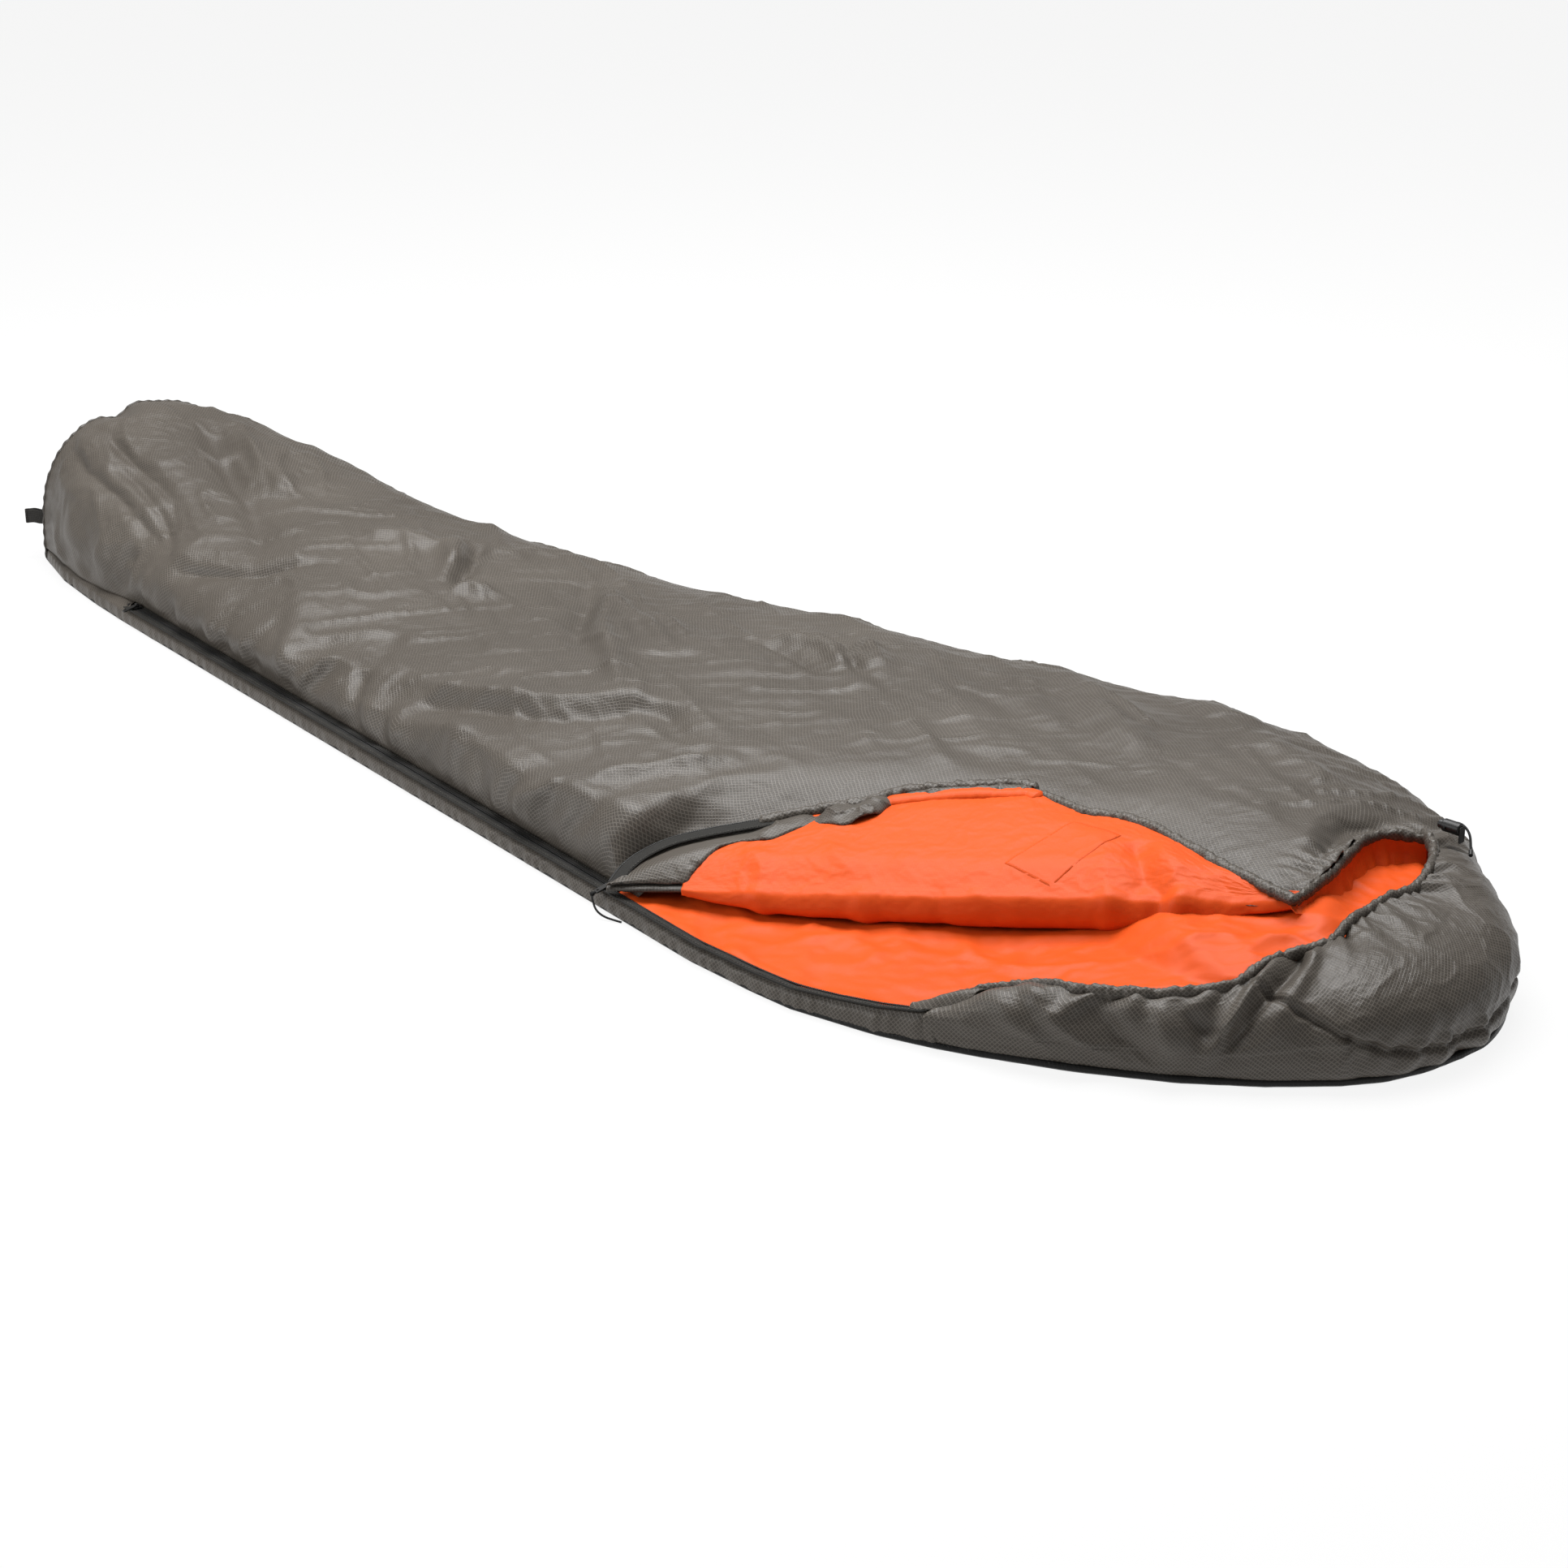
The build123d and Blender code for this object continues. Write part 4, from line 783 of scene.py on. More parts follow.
N_TOP, M_TOP = (216, 98)
top0 = top_grid(N_TOP, M_TOP)
X, Y = top0[..., 0], top0[..., 1]
arc = np.concatenate([np.zeros((N_TOP, 1)), np.cumsum(np.linalg.norm(np.diff(top0, axis=1), axis=2), axis=1)], 1)
from_near, from_far = arc, arc[:, -1:] - arc
lim_x = smooth(X, 0.26, 0.34)
covered = lim_x * (1 - smooth(top0[..., 2] - under_flap(X, Y), -0.03, -0.006))
covered = lim_x * smooth(-(under_flap(X, Y) - top0[..., 2]), -0.02, -0.004)
room = smooth(from_near, 0.0, 0.03) * smooth(from_far, 0.0, 0.03) * smooth(X, -1.096, -1.06)
calm = 1 - 0.85 * covered
nrm = grid_normals(top0, True)
if nrm[N_TOP // 2, M_TOP // 2, 2] < 0:
    nrm = -nrm
bump = (crease_field(X, Y) + soft_detail(X, Y)) * room * calm
bump += zip_gathers(X, from_near) * smooth(from_near, 0.0, 0.012) * (1 - lim_x) * smooth(X, -1.09, -1.02)
bump += zip_gathers(X, from_near, seed=15, rate=0.072, amp=0.0095, reach=0.140, wide=1.7) * smooth(from_near, 0.006, 0.050) * (1 - lim_x) * smooth(X, -1.06, -0.98)
bump += zip_gathers(X, from_far, seed=9, rate=0.045, amp=0.0030, reach=0.05) * smooth(from_far, 0.0, 0.012)
to_end = smooth(0.885 - X, 0.0, 0.02)
bump += 0.0030 * np.sin(Y / 0.0046 + 6 * fbm(Y, X, 0.05, 77)) * np.exp(-((0.862 - X) / 0.022) ** 2) * to_end * (Y > -0.05)
top1 = top0 + nrm * (bump * 1.0)[..., None]
pin = np.zeros((N_TOP, M_TOP))
pin[:, 0] = pin[:, -1] = pin[0] = pin[-1] = 1
pin = np.maximum(pin, 0.9 * smooth(covered, 0.5, 0.9))
grow = 0.022 + 0.055 * np.exp(-(from_near / 0.035) ** 2) * (1 - lim_x) + 0.03 * np.exp(-(from_far / 0.03) ** 2)
grow = grow + 0.05 * np.exp(-((0.88 - X) / 0.03) ** 2) * (Y > -0.06)
top1 = wrinkle(top1, pin, grow, frames=24, cap=0.0065, low=0.2, blur_cells=6, seed=3, bend=0.03, weight=calm)
top_fine = finer(top1)
o_top = panel("top_shell_cloth", top_fine, M_SHELL, "sack", ["top_shell", "top_wadding"], flip=True)
n_fine = grid_normals(top1, True)
if n_fine[N_TOP // 2, M_TOP // 2, 2] < 0:
    n_fine = -n_fine
lin = top1 - n_fine * (0.0085 * np.clip(smooth(from_near, 0.0, 0.02) * smooth(from_far, 0.0, 0.03), 0.25, 1))[..., None]
lin[..., 2] = np.maximum(lin[..., 2], 0.0185)
lin = lin[2:-3, 3:-5]
o_lin = panel("top_lining_cloth", lin, M_ORANGE, "sack", ["top_lining"], flip=False)

# ---------------------------------------------------------------- foot end
foot_ring = top_fine[0]
ring = np.vstack([[foot_ring[0] * [1, 1, 0] + [0, 0, 0.003]], foot_ring, [foot_ring[-1] * [1, 1, 0] + [0, 0, 0.003]]])
ring = resample(ring, 150)
flat_y = np.linspace(ring[-1, 1], ring[0, 1], 60)[1:-1]
ring = np.vstack([ring, np.stack([np.full(58, ring[0, 0]), flat_y, np.full(58, 0.003)], 1)])
centre = np.array([-1.0955, 0.0, 0.085])
steps = np.concatenate([np.linspace(1.0, 0.04, 25), [0.004, 0.0]])
fx = []
for k in steps:
    p = centre + (ring - centre) * k
    swell = 0.0125 * (1 - k ** 3.0)
    ang = np.arctan2(ring[:, 2] - 0.085, ring[:, 1])
    wr = 0.0022 * np.sin(ang * 17 + 3 * value_noise(ang * 3, ang * 0 + k * 2, 5)) * np.exp(-((1 - k) / 0.16) ** 2) * min(1, (1 - k) * 12)
    slack = 0.0030 * fbm(p[:, 1], p[:, 2], 0.07, 61, 3) * min(1, (1 - k) * 5)
    p[:, 0] = -1.0965 - swell * np.clip((p[:, 2] - 0.001) / 0.02, 0, 1) - wr - slack
    fx.append(p)
fp = np.array(fx)
fp = np.concatenate([fp, fp[:, :1]], 1)
o_foot = panel("foot_panel_cloth", fp[:-1], M_SHELL, "sack", ["foot_panel"], thick=0.0008, flip=False, loop=True)
seam = resample(ring[:152], 420)
wob = 0.0006 * np.sin(np.arange(420) * 0.55) + 0.0005 * fbm(np.arange(420) * 1.0, np.zeros(420), 6.0, 4)
# the foot seam tube uses the painted-shade copy of the shell cloth, so painted shade darkens the seam line
o_seam = tube("foot_seam", seam + np.array([-0.0008, 0, 0]), 0.0021 + wob, M_SHELL_PAINTED_SHADE, "sack", ["foot_binding"],
              up=(1, 0, 0), sides=10)
fl = centre + (ring - centre) * 0.90
fl[:, 0] = -1.0875
fl[:, 2] = np.maximum(fl[:, 2], 0.018)
fl_rows = []
for k in np.append(np.linspace(1, 0.04, 16), 0.005):
    q = np.array([-1.0875, 0, 0.09]) + (fl - np.array([-1.0875, 0, 0.09])) * k
    q[:, 0] = -1.0875 - 0.004 * (1 - k ** 2) + 0.0015 * fbm(q[:, 1], q[:, 2], 0.05, 12, 2)
    fl_rows.append(q)
flp = np.array(fl_rows)
flp = np.concatenate([flp, flp[:, :1]], 1)
o_footlin = panel("foot_lining_cloth", flp, M_ORANGE, "sack", ["foot_lining"], flip=True, loop=True)

# ---------------------------------------------------------------- zip, tapes and side strip
TAPE_X = [-0.805, 0.45, 0.52, 0.574, 0.62, 0.668, 0.70, 0.716]
TAPE_Z = [0.0203, 0.0203, 0.0206, 0.0216, 0.0239, 0.0284, 0.0324, 0.0354]


def tape_z(x):
    return np.interp(x, TAPE_X, TAPE_Z)


def edge_y(x, n):
    return np.where(x <= 0.45, -0.230 - 0.1365 * (x + 0.814) + n / 0.99081, -np.interp(x, [a for a, b in HW], [b for a, b in HW]) + n + 0.0015 * smooth(x, 0.56, 0.64))


strip_x = np.linspace(-1.090, 0.7270, 640)
prof = np.linspace(0, 1, 13)
sy = -np.interp(strip_x, [a for a, b in HW], [b for a, b in HW])
open_x = strip_x < -0.80
top_h = np.where(open_x, near_foot(strip_x) + 0.0012, tape_z(strip_x) - 0.0012)
puck = 0.0011 * np.sin(strip_x / 0.0034 + 7 * fbm(strip_x, strip_x * 0, 0.06, 2)) * (0.4 + 0.6 * value_noise(strip_x / 0.07, strip_x * 0, 8) ** 2)
puck += 0.0010 * fbm(strip_x, strip_x * 0, 0.018, 3, 2)
S = np.zeros((640, 13, 3))
for j, v in enumerate(prof):
    belly = math.sin(math.pi * min(1, v * 1.05)) ** 0.8
    S[:, j, 0] = strip_x
    reach = 0.004 + (setback(strip_x) + 0.0030 - 0.004) * (1 - smooth(strip_x, -0.808, -0.800))
    S[:, j, 1] = sy + 0.0012 * v * 2 - (0.0016 + puck * 1.1) * belly + reach * smooth(np.array(v), 0.70, 1.0)
    S[:, j, 2] = 0.0012 + (top_h - 0.0012) * v + 0.0005 * fbm(strip_x, strip_x * 0 + v, 0.02, 6)
o_strip = panel("side_strip_cloth", S, M_SHELL, "sack", ["side_strip"], flip=True)


def ribbon(name, path, width, across, material, body, replaces=(), thick=0.0008, rise=None, cells=6):
    """A flat tape along a path, width in metres across the given direction."""
    path = np.asarray(path, float)
    across = np.asarray(across, float)
    if across.ndim == 1:
        across = np.broadcast_to(across, path.shape)
    v = np.linspace(-0.5, 0.5, cells)
    p = path[:, None] + across[:, None] * (v * width)[None, :, None]
    if rise is not None:
        p = p + rise(v)[None, :, None] * np.array([0, 0, 1.0])
    return panel(name, p, material, body, replaces, thick=thick, flip=False)


lx = np.linspace(-0.805, 0.714, 520)
ctr = np.stack([lx, edge_y(lx, 0.0048), tape_z(lx) + 0.0004], 1)
ctr[:, 2] += 0.0004 * fbm(lx, lx * 0, 0.03, 41)
o_tl = ribbon("lower_tape_cloth", ctr, 0.0086, NRM, M_TAPE, "sack", ["zip_tape_lower"])
# raised cord edge of the lower tape and its stitch line
rim = np.stack([lx, edge_y(lx, 0.0010), tape_z(lx) + 0.0006], 1)
tube("lower_tape_rim", rim, 0.0011, M_TAPE, "sack", sides=8)
stitches("lower_tape_stitch", np.stack([lx, edge_y(lx, 0.0038), tape_z(lx) + 0.0009], 1), M_THREAD, "sack")
ux = np.linspace(-0.805, 0.292, 380)
ctr = np.stack([ux, edge_y(ux, 0.0198), np.full(380, 0.0209)], 1)
o_tu = ribbon("upper_tape_cloth", ctr, 0.0100, NRM, M_TAPE, "sack", ["zip_tape_upper"])
stitches("upper_tape_stitch", np.stack([ux, edge_y(ux, 0.0190), np.full(380, 0.0214)], 1), M_THREAD, "sack")


def coil(name, path, side, body, replaces=(), pitch=0.0021, r=0.0012, reach=0.0017, up=None, wire=0.00042):
    """Zip coil: a flattened helix of nylon wire on the tape's edge, as one closed tube."""
    path = np.asarray(path, float)
    s = np.concatenate([[0], np.cumsum(np.linalg.norm(np.diff(path, axis=0), axis=1))])
    turns = s[-1] / pitch
    k = int(turns * 6)
    q = np.linspace(0, s[-1], k)
    c = np.stack([np.interp(q, s, path[:, i]) for i in range(3)], 1)
    t = np.gradient(c, axis=0)
    t /= np.linalg.norm(t, axis=1)[:, None]
    upv = np.array([0, 0, 1.0]) if up is None else np.asarray(up)
    sd = np.cross(upv, t)
    sd /= np.linalg.norm(sd, axis=1)[:, None]
    u2 = np.cross(t, sd)
    a = 2 * math.pi * q / pitch
    c = c + sd * (np.cos(a) * reach * side)[:, None] + u2 * (np.sin(a) * (r - wire))[:, None]
    return tube(name, c, wire, M_COIL, body, replaces, sides=4, up=t)


def helix(name, path, side, body, replaces=(), **kw):
    return coil(name, path, side, body, replaces, **kw)


low_line = np.stack([lx, np.where(lx < 0.45, edge_y(lx, 0.0098), edge_y(lx, 0.0104)), np.where(lx < 0.45, 0.0203, tape_z(lx) + 0.0002)], 1)
low_line[:, 1] = blur(low_line[:, 1:2], 6, 0)[:, 0]
upp_line = np.stack([ux, edge_y(ux, 0.0132), np.full(380, 0.0203)], 1)
core = tube("zip_coil_core_lower", low_line, 0.0007, M_COIL, "sack", ["zip_coil_lower"], sides=6)
core2 = tube("zip_coil_core_upper", upp_line, 0.0007, M_COIL, "sack", ["zip_coil_upper"], sides=6)


def teeth(name, path, side, body, pitch=0.0021, long=0.0024, wide=0.00105, tall=0.0021, up=(0, 0, 1)):
    """One small rounded block per coil turn, along the tape's edge."""
    path = np.asarray(path, float)
    s = np.concatenate([[0], np.cumsum(np.linalg.norm(np.diff(path, axis=0), axis=1))])
    n = int(s[-1] / pitch)
    q = (np.arange(n) + 0.5) * pitch
    c = np.stack([np.interp(q, s, path[:, i]) for i in range(3)], 1)
    t = np.gradient(c, axis=0)
    t /= np.linalg.norm(t, axis=1)[:, None]
    upv = np.broadcast_to(np.asarray(up, float), t.shape)
    sd = np.cross(upv, t) * side
    sd /= np.linalg.norm(sd, axis=1)[:, None]
    u2 = np.cross(t, np.cross(upv, t))
    u2 /= np.linalg.norm(u2, axis=1)[:, None]
    verts, faces = [], []
    shape = [(-0.5, 1.0), (-0.36, 1.0), (0.36, 1.0), (0.5, 1.0)]
    box = []
    for a, sc in ((-0.5, 0.62), (-0.32, 1.0), (0.32, 1.0), (0.5, 0.62)):
        for b, h in ((-0.5, -0.28), (-0.28, -0.5), (0.28, -0.5), (0.5, -0.28), (0.5, 0.28), (0.28, 0.5), (-0.28, 0.5), (-0.5, 0.28)):
            box.append((a, b * sc, h * sc))
    box = np.array(box)
    v = (c[:, None] + sd[:, None] * (box[None, :, 0:1] * long) + t[:, None] * (box[None, :, 1:2] * wide)
         + u2[:, None] * (box[None, :, 2:3] * tall))
    base = []
    for k in range(3):
        for j in range(8):
            base.append([8 * k + j, 8 * k + (j + 1) % 8, 8 * k + 8 + (j + 1) % 8, 8 * k + 8 + j])
    for a, b, c2, d2 in ((0, 7, 6, 1), (1, 6, 5, 2), (2, 5, 4, 3)):
        base.append([a, b, c2, d2])
        base.append([24 + a, 24 + d2, 24 + c2, 24 + b])
    base = np.array(base)
    faces = (base[None] + (np.arange(n) * 32)[:, None, None]).reshape(-1, 4)
    v = v.reshape(-1, 3)
    return mesh_object(name, v, faces, v[:, :2], M_COIL, body)


teeth("zip_teeth_lower", low_line, 1, "sack")
teeth("zip_teeth_upper", upp_line + T * 0.00105, -1, "sack")

# ---------------------------------------------------------------- hood tables
HOOD = [(-109, .3795, .352, .042), (-98, .334, .298, .078), (-86, .299, .255, .086), (-73, .269, .222, .090),
        (-50, .246, .140, .098), (-25, .236, .100, .106), (0, .228, .090, .110), (25, .236, .092, .110), (45, .240, .108, .108),
        (65, .258, .142, .104), (82, .286, .194, .100)]
HEM = [(-110.7, .3660, .0340), (-109.9, .3480, .0430), (-106, .3210, .0540), (-100, .3030, .0660), (-93.7, .2930, .0710),
       (-84, .2710, .0750), (-73, .2420, .0790), (-66, .2220, .0830), (-62, .1920, .0890), (-53, .1660, .0930), (-40, .1460, .0960),
       (-28, .1220, .1020), (-10, .1040, .1020), (8, .1010, .1010), (30, .1180, .1010), (52, .1360, .1020), (69, .1620, .1000),
       (83, .1860, .0960)]
RMAX = [(-40, .2620), (-26, .2550), (-16, .2490), (-6, .2420), (5, .2340), (17, .2250), (26, .2170), (35, .2100), (45, .2050),
        (56, .2060), (65, .2170), (73, .2360), (84, .2640)]
hp = np.array([(a, 0.0, b, c) for a, b, c in HEM])


def hood_row(phi):
    out = [np.interp(phi, hp[:, 0], hp[:, k]) for k in (1, 2, 3)]
    return out


_phis = np.linspace(-112, 86, 199)
_hr = np.stack([np.interp(_phis, hp[:, 0], hp[:, k]) for k in (1, 2, 3)], 1)
_hr = np.stack([blur(_hr[:, k:k + 1], 2.5, 0)[:, 0] for k in range(3)], 1)
_rm = blur(np.interp(_phis, [a for a, b in RMAX], [b for a, b in RMAX])[:, None], 3.0, 0)[:, 0]


def ground_radius(f):
    """Radius of the hood's foot about its centre at bearing f, on the ground outline or inside it."""
    c, s = math.cos(math.radians(f)), math.sin(math.radians(f))
    rr = np.linspace(0.12, 0.42, 600)
    px, py = 0.850 + rr * c, rr * s
    ww = np.interp(px, [a for a, b in HW], [b for a, b in HW], right=-1)
    hit = np.nonzero((np.abs(py) > ww) | (px > 1.079))[0]
    R = rr[hit[0]] if len(hit) else 0.38
    k = float(smooth(np.array(f), -45.0, -20.0))
    return R * (1 - k) + min(R, float(np.interp(f, _phis, _rm)) - 0.010) * k

# ---------------------------------------------------------------- ground sheet
ring_x = np.linspace(-1.096, 0.70, 130)
gy = np.interp(ring_x, [a for a, b in HW], [b for a, b in HW])
near_line = np.stack([ring_x, -gy], 1)
bear = np.linspace(-108.5, 84, 110)
head = np.array([(0.850 + ground_radius(f) * math.cos(math.radians(f)), ground_radius(f) * math.sin(math.radians(f))) for f in bear])
back_x = np.linspace(0.862, -1.096, 140)
far_line = np.stack([back_x, np.interp(back_x, [a for a, b in HW], [b for a, b in HW])], 1)
out2 = np.vstack([near_line, head, far_line])
nn = np.gradient(out2, axis=0)
nn = np.stack([nn[:, 1], -nn[:, 0]], 1)
nn /= np.maximum(1e-9, np.linalg.norm(nn, axis=1))[:, None]
# the groundsheet's edge rises toward the head so its black shows as a band along the bottom: partly the sheet's own
# colour, partly painted contact shadow
lip = smooth(out2[:, 0], 0.45, 0.85)
rows = []
for off, z in ((-0.05, 0.0016), (-0.015, 0.0016), (-0.004, 0.0018), (0.0004, 0.0006)):
    rows.append(np.column_stack([out2 + nn * off, np.full(len(out2), z)]))
rows.append(np.column_stack([out2 + nn * (0.0012 + 0.0022 * lip)[:, None], 0.0022 + 0.0012 * lip]))
rows.append(np.column_stack([out2 + nn * (0.0008 + 0.0016 * lip)[:, None], 0.0036 + 0.0042 * lip]))
rows.append(np.column_stack([out2 + nn * (-0.0012 + 0.0006 * lip)[:, None], 0.0040 + 0.0050 * lip]))
inner = []
for k in np.linspace(0.02, 0.93, 9):
    q = (out2 - nn * 0.05) * np.array([1.0, k])
    inner.append(np.column_stack([q, np.full(len(q), 0.0014)]))
G = np.array(inner + rows)
G[..., 0] = np.clip(G[..., 0], -1.0975, 1.083)
o_ground = panel("groundsheet_cloth", G, M_GROUND_AND_PAINTED_SHADOW, "sack", ["groundsheet"], thick=0.0009, flip=True)

# ---------------------------------------------------------------- base lining
nb, mb = (250, 96)
bx = np.linspace(-1.082, 1.055, nb)
B = np.zeros((nb, mb, 3))
for i, x in enumerate(bx):
    w = float(np.interp(x, [a for a, b in HW], [b for a, b in HW]))
    tape = x < 0.716
    y0 = float(edge_y(np.array(x), 0.0092)) if -0.80 < x < 0.716 else -w + 0.012
    y0 = y0 if x < 0.70 else (-w + 0.0107 + (0.012 - 0.0107) * min(1, (x - 0.70) / 0.05))
    y1 = w - 0.012
    v = np.linspace(0, 1, mb)
    B[i, :, 0] = x
    B[i, :, 1] = y0 + (y1 - y0) * v
bxx, byy = B[..., 0], B[..., 1]
dn = byy - byy[:, :1]
df = byy[:, -1:] - byy
bear_t = np.linspace(-110, 89, 120)
rad_t = np.array([ground_radius(f) for f in bear_t])
fb_ = np.degrees(np.arctan2(byy, bxx - 0.850))
rr_ = np.hypot(byy, bxx - 0.850)
lim_r = np.interp(fb_, bear_t, rad_t) - 0.0135
back = (bxx < 0.850) & (fb_ > 89)
sc_ = np.where((rr_ > lim_r) & (bxx > 0.75) & (fb_ > -107) & ~back, lim_r / np.maximum(rr_, 1e-6), 1.0)
B[..., 0] = 0.850 + (bxx - 0.850) * sc_
B[..., 1] = byy * sc_
edge_h = np.where(bxx < 0.716, np.interp(bxx, TAPE_X, TAPE_Z), 0.0354 + (bxx - 0.716) * 0.02) - 0.0006
puff = 0.0175 + 0.0055 * smooth(dn, 0.03, 0.12) * smooth(df, 0.02, 0.12) * smooth(1.06 - bxx, 0.0, 0.2)
puff += 0.0030 * fbm(bxx, byy, 0.12, 51, 3) + 0.0022 * ridge_noise(bxx + 0.3 * byy, byy - 0.2 * bxx, 0.06, 53) + 0.0012 * ridge_noise(bxx - byy, byy + bxx * 0.3, 0.032, 57)
for pts, h, lf, rt in [([(.600, -.215), (.680, -.235), (.740, -.215), (.790, -.180)], 0.0045, 0.008, 0.008),
                       ([(.340, -.330), (.370, -.310), (.420, -.290)], 0.004, 0.010, 0.010),
                       ([(.500, -.330), (.520, -.300), (.545, -.262)], 0.004, 0.010, 0.008),
                       ([(.520, -.300), (.560, -.290), (.600, -.300)], 0.003, 0.010, 0.010),
                       ([(.880, -.120), (.900, -.080), (.925, -.020), (.930, .050)], 0.006, 0.012, 0.010),
                       ([(.830, -.160), (.850, -.120), (.880, -.105)], 0.005, 0.010, 0.010)]:
    puff += fold(bxx, byy, spline(pts, 16), h, lf, rt)
rh = np.hypot(bxx - 0.865, 0.85 * (byy - 0.02))
lift = np.maximum(0.034 * smooth(bxx + 0.5 * byy, 0.52, 0.80), 0.052 * smooth(0.225 - rh, 0.0, 0.10))
puff += lift * smooth(dn, 0.02, 0.09) * smooth(df, 0.03, 0.12) * smooth(1.06 - bxx, 0.0, 0.08)
seam_dip = -0.0035 * np.exp(-(dn / 0.012) ** 2)
k = smooth(dn, 0.0, 0.022)
B[..., 2] = edge_h * (1 - k) + (puff + seam_dip * 0.3) * k
B[..., 2] += zip_gathers(bxx, dn, seed=21, rate=0.024, amp=0.0036, reach=0.050) * smooth(dn, 0.0, 0.01) * smooth(bxx, 0.27, 0.32)
closed = 1 - smooth(bxx, 0.262, 0.30)
# beside the closed zip the lining stops under the upper tape, clear of the slot between the coils
B[..., 1] += 0.018 * closed * (1 - smooth(dn, 0.0, 0.06)) * smooth(bxx, -0.95, -0.86)
B[..., 2] = B[..., 2] * (1 - closed) + np.minimum(B[..., 2], 0.0172 + 0.05 * np.maximum(0, dn - 0.03)) * closed
B[..., 2] = B[..., 2] * smooth(df, 0.0, 0.02) + 0.0165 * (1 - smooth(df, 0.0, 0.02))
B[..., 2] = np.maximum(B[..., 2], 0.0160)
# the lining rises to the underside of the turned-back corner along its fold
bs_, bd_ = fold_sd(B[..., 0], B[..., 1])
under = A3[2] + 0.0959 * bs_ - np.interp(bs_, [0.0, 0.12, 0.25, 0.36, 0.54, 0.60, 0.65, 0.684], [0.012, 0.018, 0.030, 0.036, 0.035, 0.024, 0.014, 0.008])
target = under - 0.45 * np.maximum(0, -bd_ - 0.010) - 0.25 * np.maximum(0, bd_ - 0.03)
target = np.where((bs_ > 0.20) & (bs_ < 0.80), target, 0.0) * smooth(bs_, 0.20, 0.30) * (1 - smooth(bs_, 0.70, 0.80))
lifted = -smin(-B[..., 2], -target, 0.012)
B[..., 2] += (lifted - B[..., 2]) * smooth(dn, 0.0, 0.04) * smooth(df, 0.02, 0.06) * smooth(bs_, 0.20, 0.30)
pin = np.zeros((nb, mb))
pin[:, 0] = pin[:, -1] = pin[0] = pin[-1] = 1
grow = 0.020 + 0.04 * np.exp(-(dn / 0.03) ** 2)
B = wrinkle(B, pin, grow, frames=18, cap=0.0045, low=0.1, blur_cells=5, seed=8, bend=0.02)
B[..., 2] = np.maximum(B[..., 2], 0.0155)
B[..., 2] = B[..., 2] * (1 - closed) + np.minimum(B[..., 2], 0.0176 + 0.05 * np.maximum(0, dn - 0.03)) * closed
o_base = panel("base_lining_cloth", finer(B), M_ORANGE, "sack", ["base_lining", "base_wadding"], flip=False)

# ---------------------------------------------------------------- hood
nh, mh = (230, 74)
ph = np.linspace(-110.2, 83.5, nh)
Hd = np.zeros((nh, mh, 3))
for i, f in enumerate(ph):
    R, hem, hz = [float(np.interp(f, _phis, _hr[:, k])) for k in range(3)]
    c, s_ = math.cos(math.radians(f)), math.sin(math.radians(f))
    R = ground_radius(float(f))
    crown = float(smooth(np.array(f), -75, -35) * (1 - smooth(np.array(f), 62, 84)))
    bulge = 0.003 + 0.0065 * crown
    zc = 0.030 + 0.014 * crown
    start = hem + 0.0030
    a = np.linspace(0, math.pi / 2, 14)
    low_r = R - 0.001 + bulge * np.sin(a)
    low_z = 0.0052 + (zc - 0.0052) * (1 - np.cos(a))
    b = np.linspace(0, math.pi / 2, 60)[1:]
    e = 2 / (2.0 + 0.45 * crown)
    up_r = start + (R + bulge - start) * np.cos(b) ** e
    up_z = zc + (hz - zc) * np.sin(b) ** e
    up_r[-1] = start
    pr = resample(np.column_stack([np.concatenate([low_r, up_r]), np.concatenate([low_z, up_z])]), mh)
    Hd[i, :, 0] = 0.850 + pr[:, 0] * c
    Hd[i, :, 1] = pr[:, 0] * s_
    Hd[i, :, 2] = pr[:, 1]
Hd = blur(Hd, 1.2, 0)
PH = np.repeat(ph[:, None], mh, 1)
VV = np.repeat(np.linspace(0, 1, mh)[None], nh, 0)
arc_h = np.concatenate([np.zeros((nh, 1)), np.cumsum(np.linalg.norm(np.diff(Hd, axis=1), axis=2), axis=1)], 1)
to_hem, to_ground = arc_h[:, -1:] - arc_h, arc_h
around = np.radians(PH) * 0.24
nh_ = grid_normals(Hd)
if nh_[nh // 2, mh // 2, 2] < 0:
    nh_ = -nh_
# crown seam: share of the way from the ground to the hem, by bearing
SEAM_PHI = [-66, -60, -52, -42, -32, -20, -8, 5, 20, 35, 50, 62]
SEAM_V = [0.98, 0.74, 0.50, 0.30, 0.17, 0.12, 0.12, 0.15, 0.19, 0.25, 0.36, 0.55]
sv = np.interp(PH, SEAM_PHI, SEAM_V)
sdist = (VV - sv) * arc_h[:, -1:]
in_seam = smooth(PH, -67, -60) * (1 - smooth(PH, 56, 66))
hb = 0.0040 * fbm(around * 1.0, arc_h, 0.085, 81, 2) * smooth(to_hem, 0, 0.02) * smooth(to_ground, 0, 0.015)
hb += 0.0014 * ridge_noise(around + 0.6 * arc_h, arc_h - 0.4 * around, 0.06, 83) * smooth(to_hem, 0, 0.02) * smooth(to_ground, 0, 0.015)
hb += -0.0062 * np.exp(-(sdist / 0.0042) ** 2) * in_seam
rng = np.random.RandomState(12)
at = -1.98
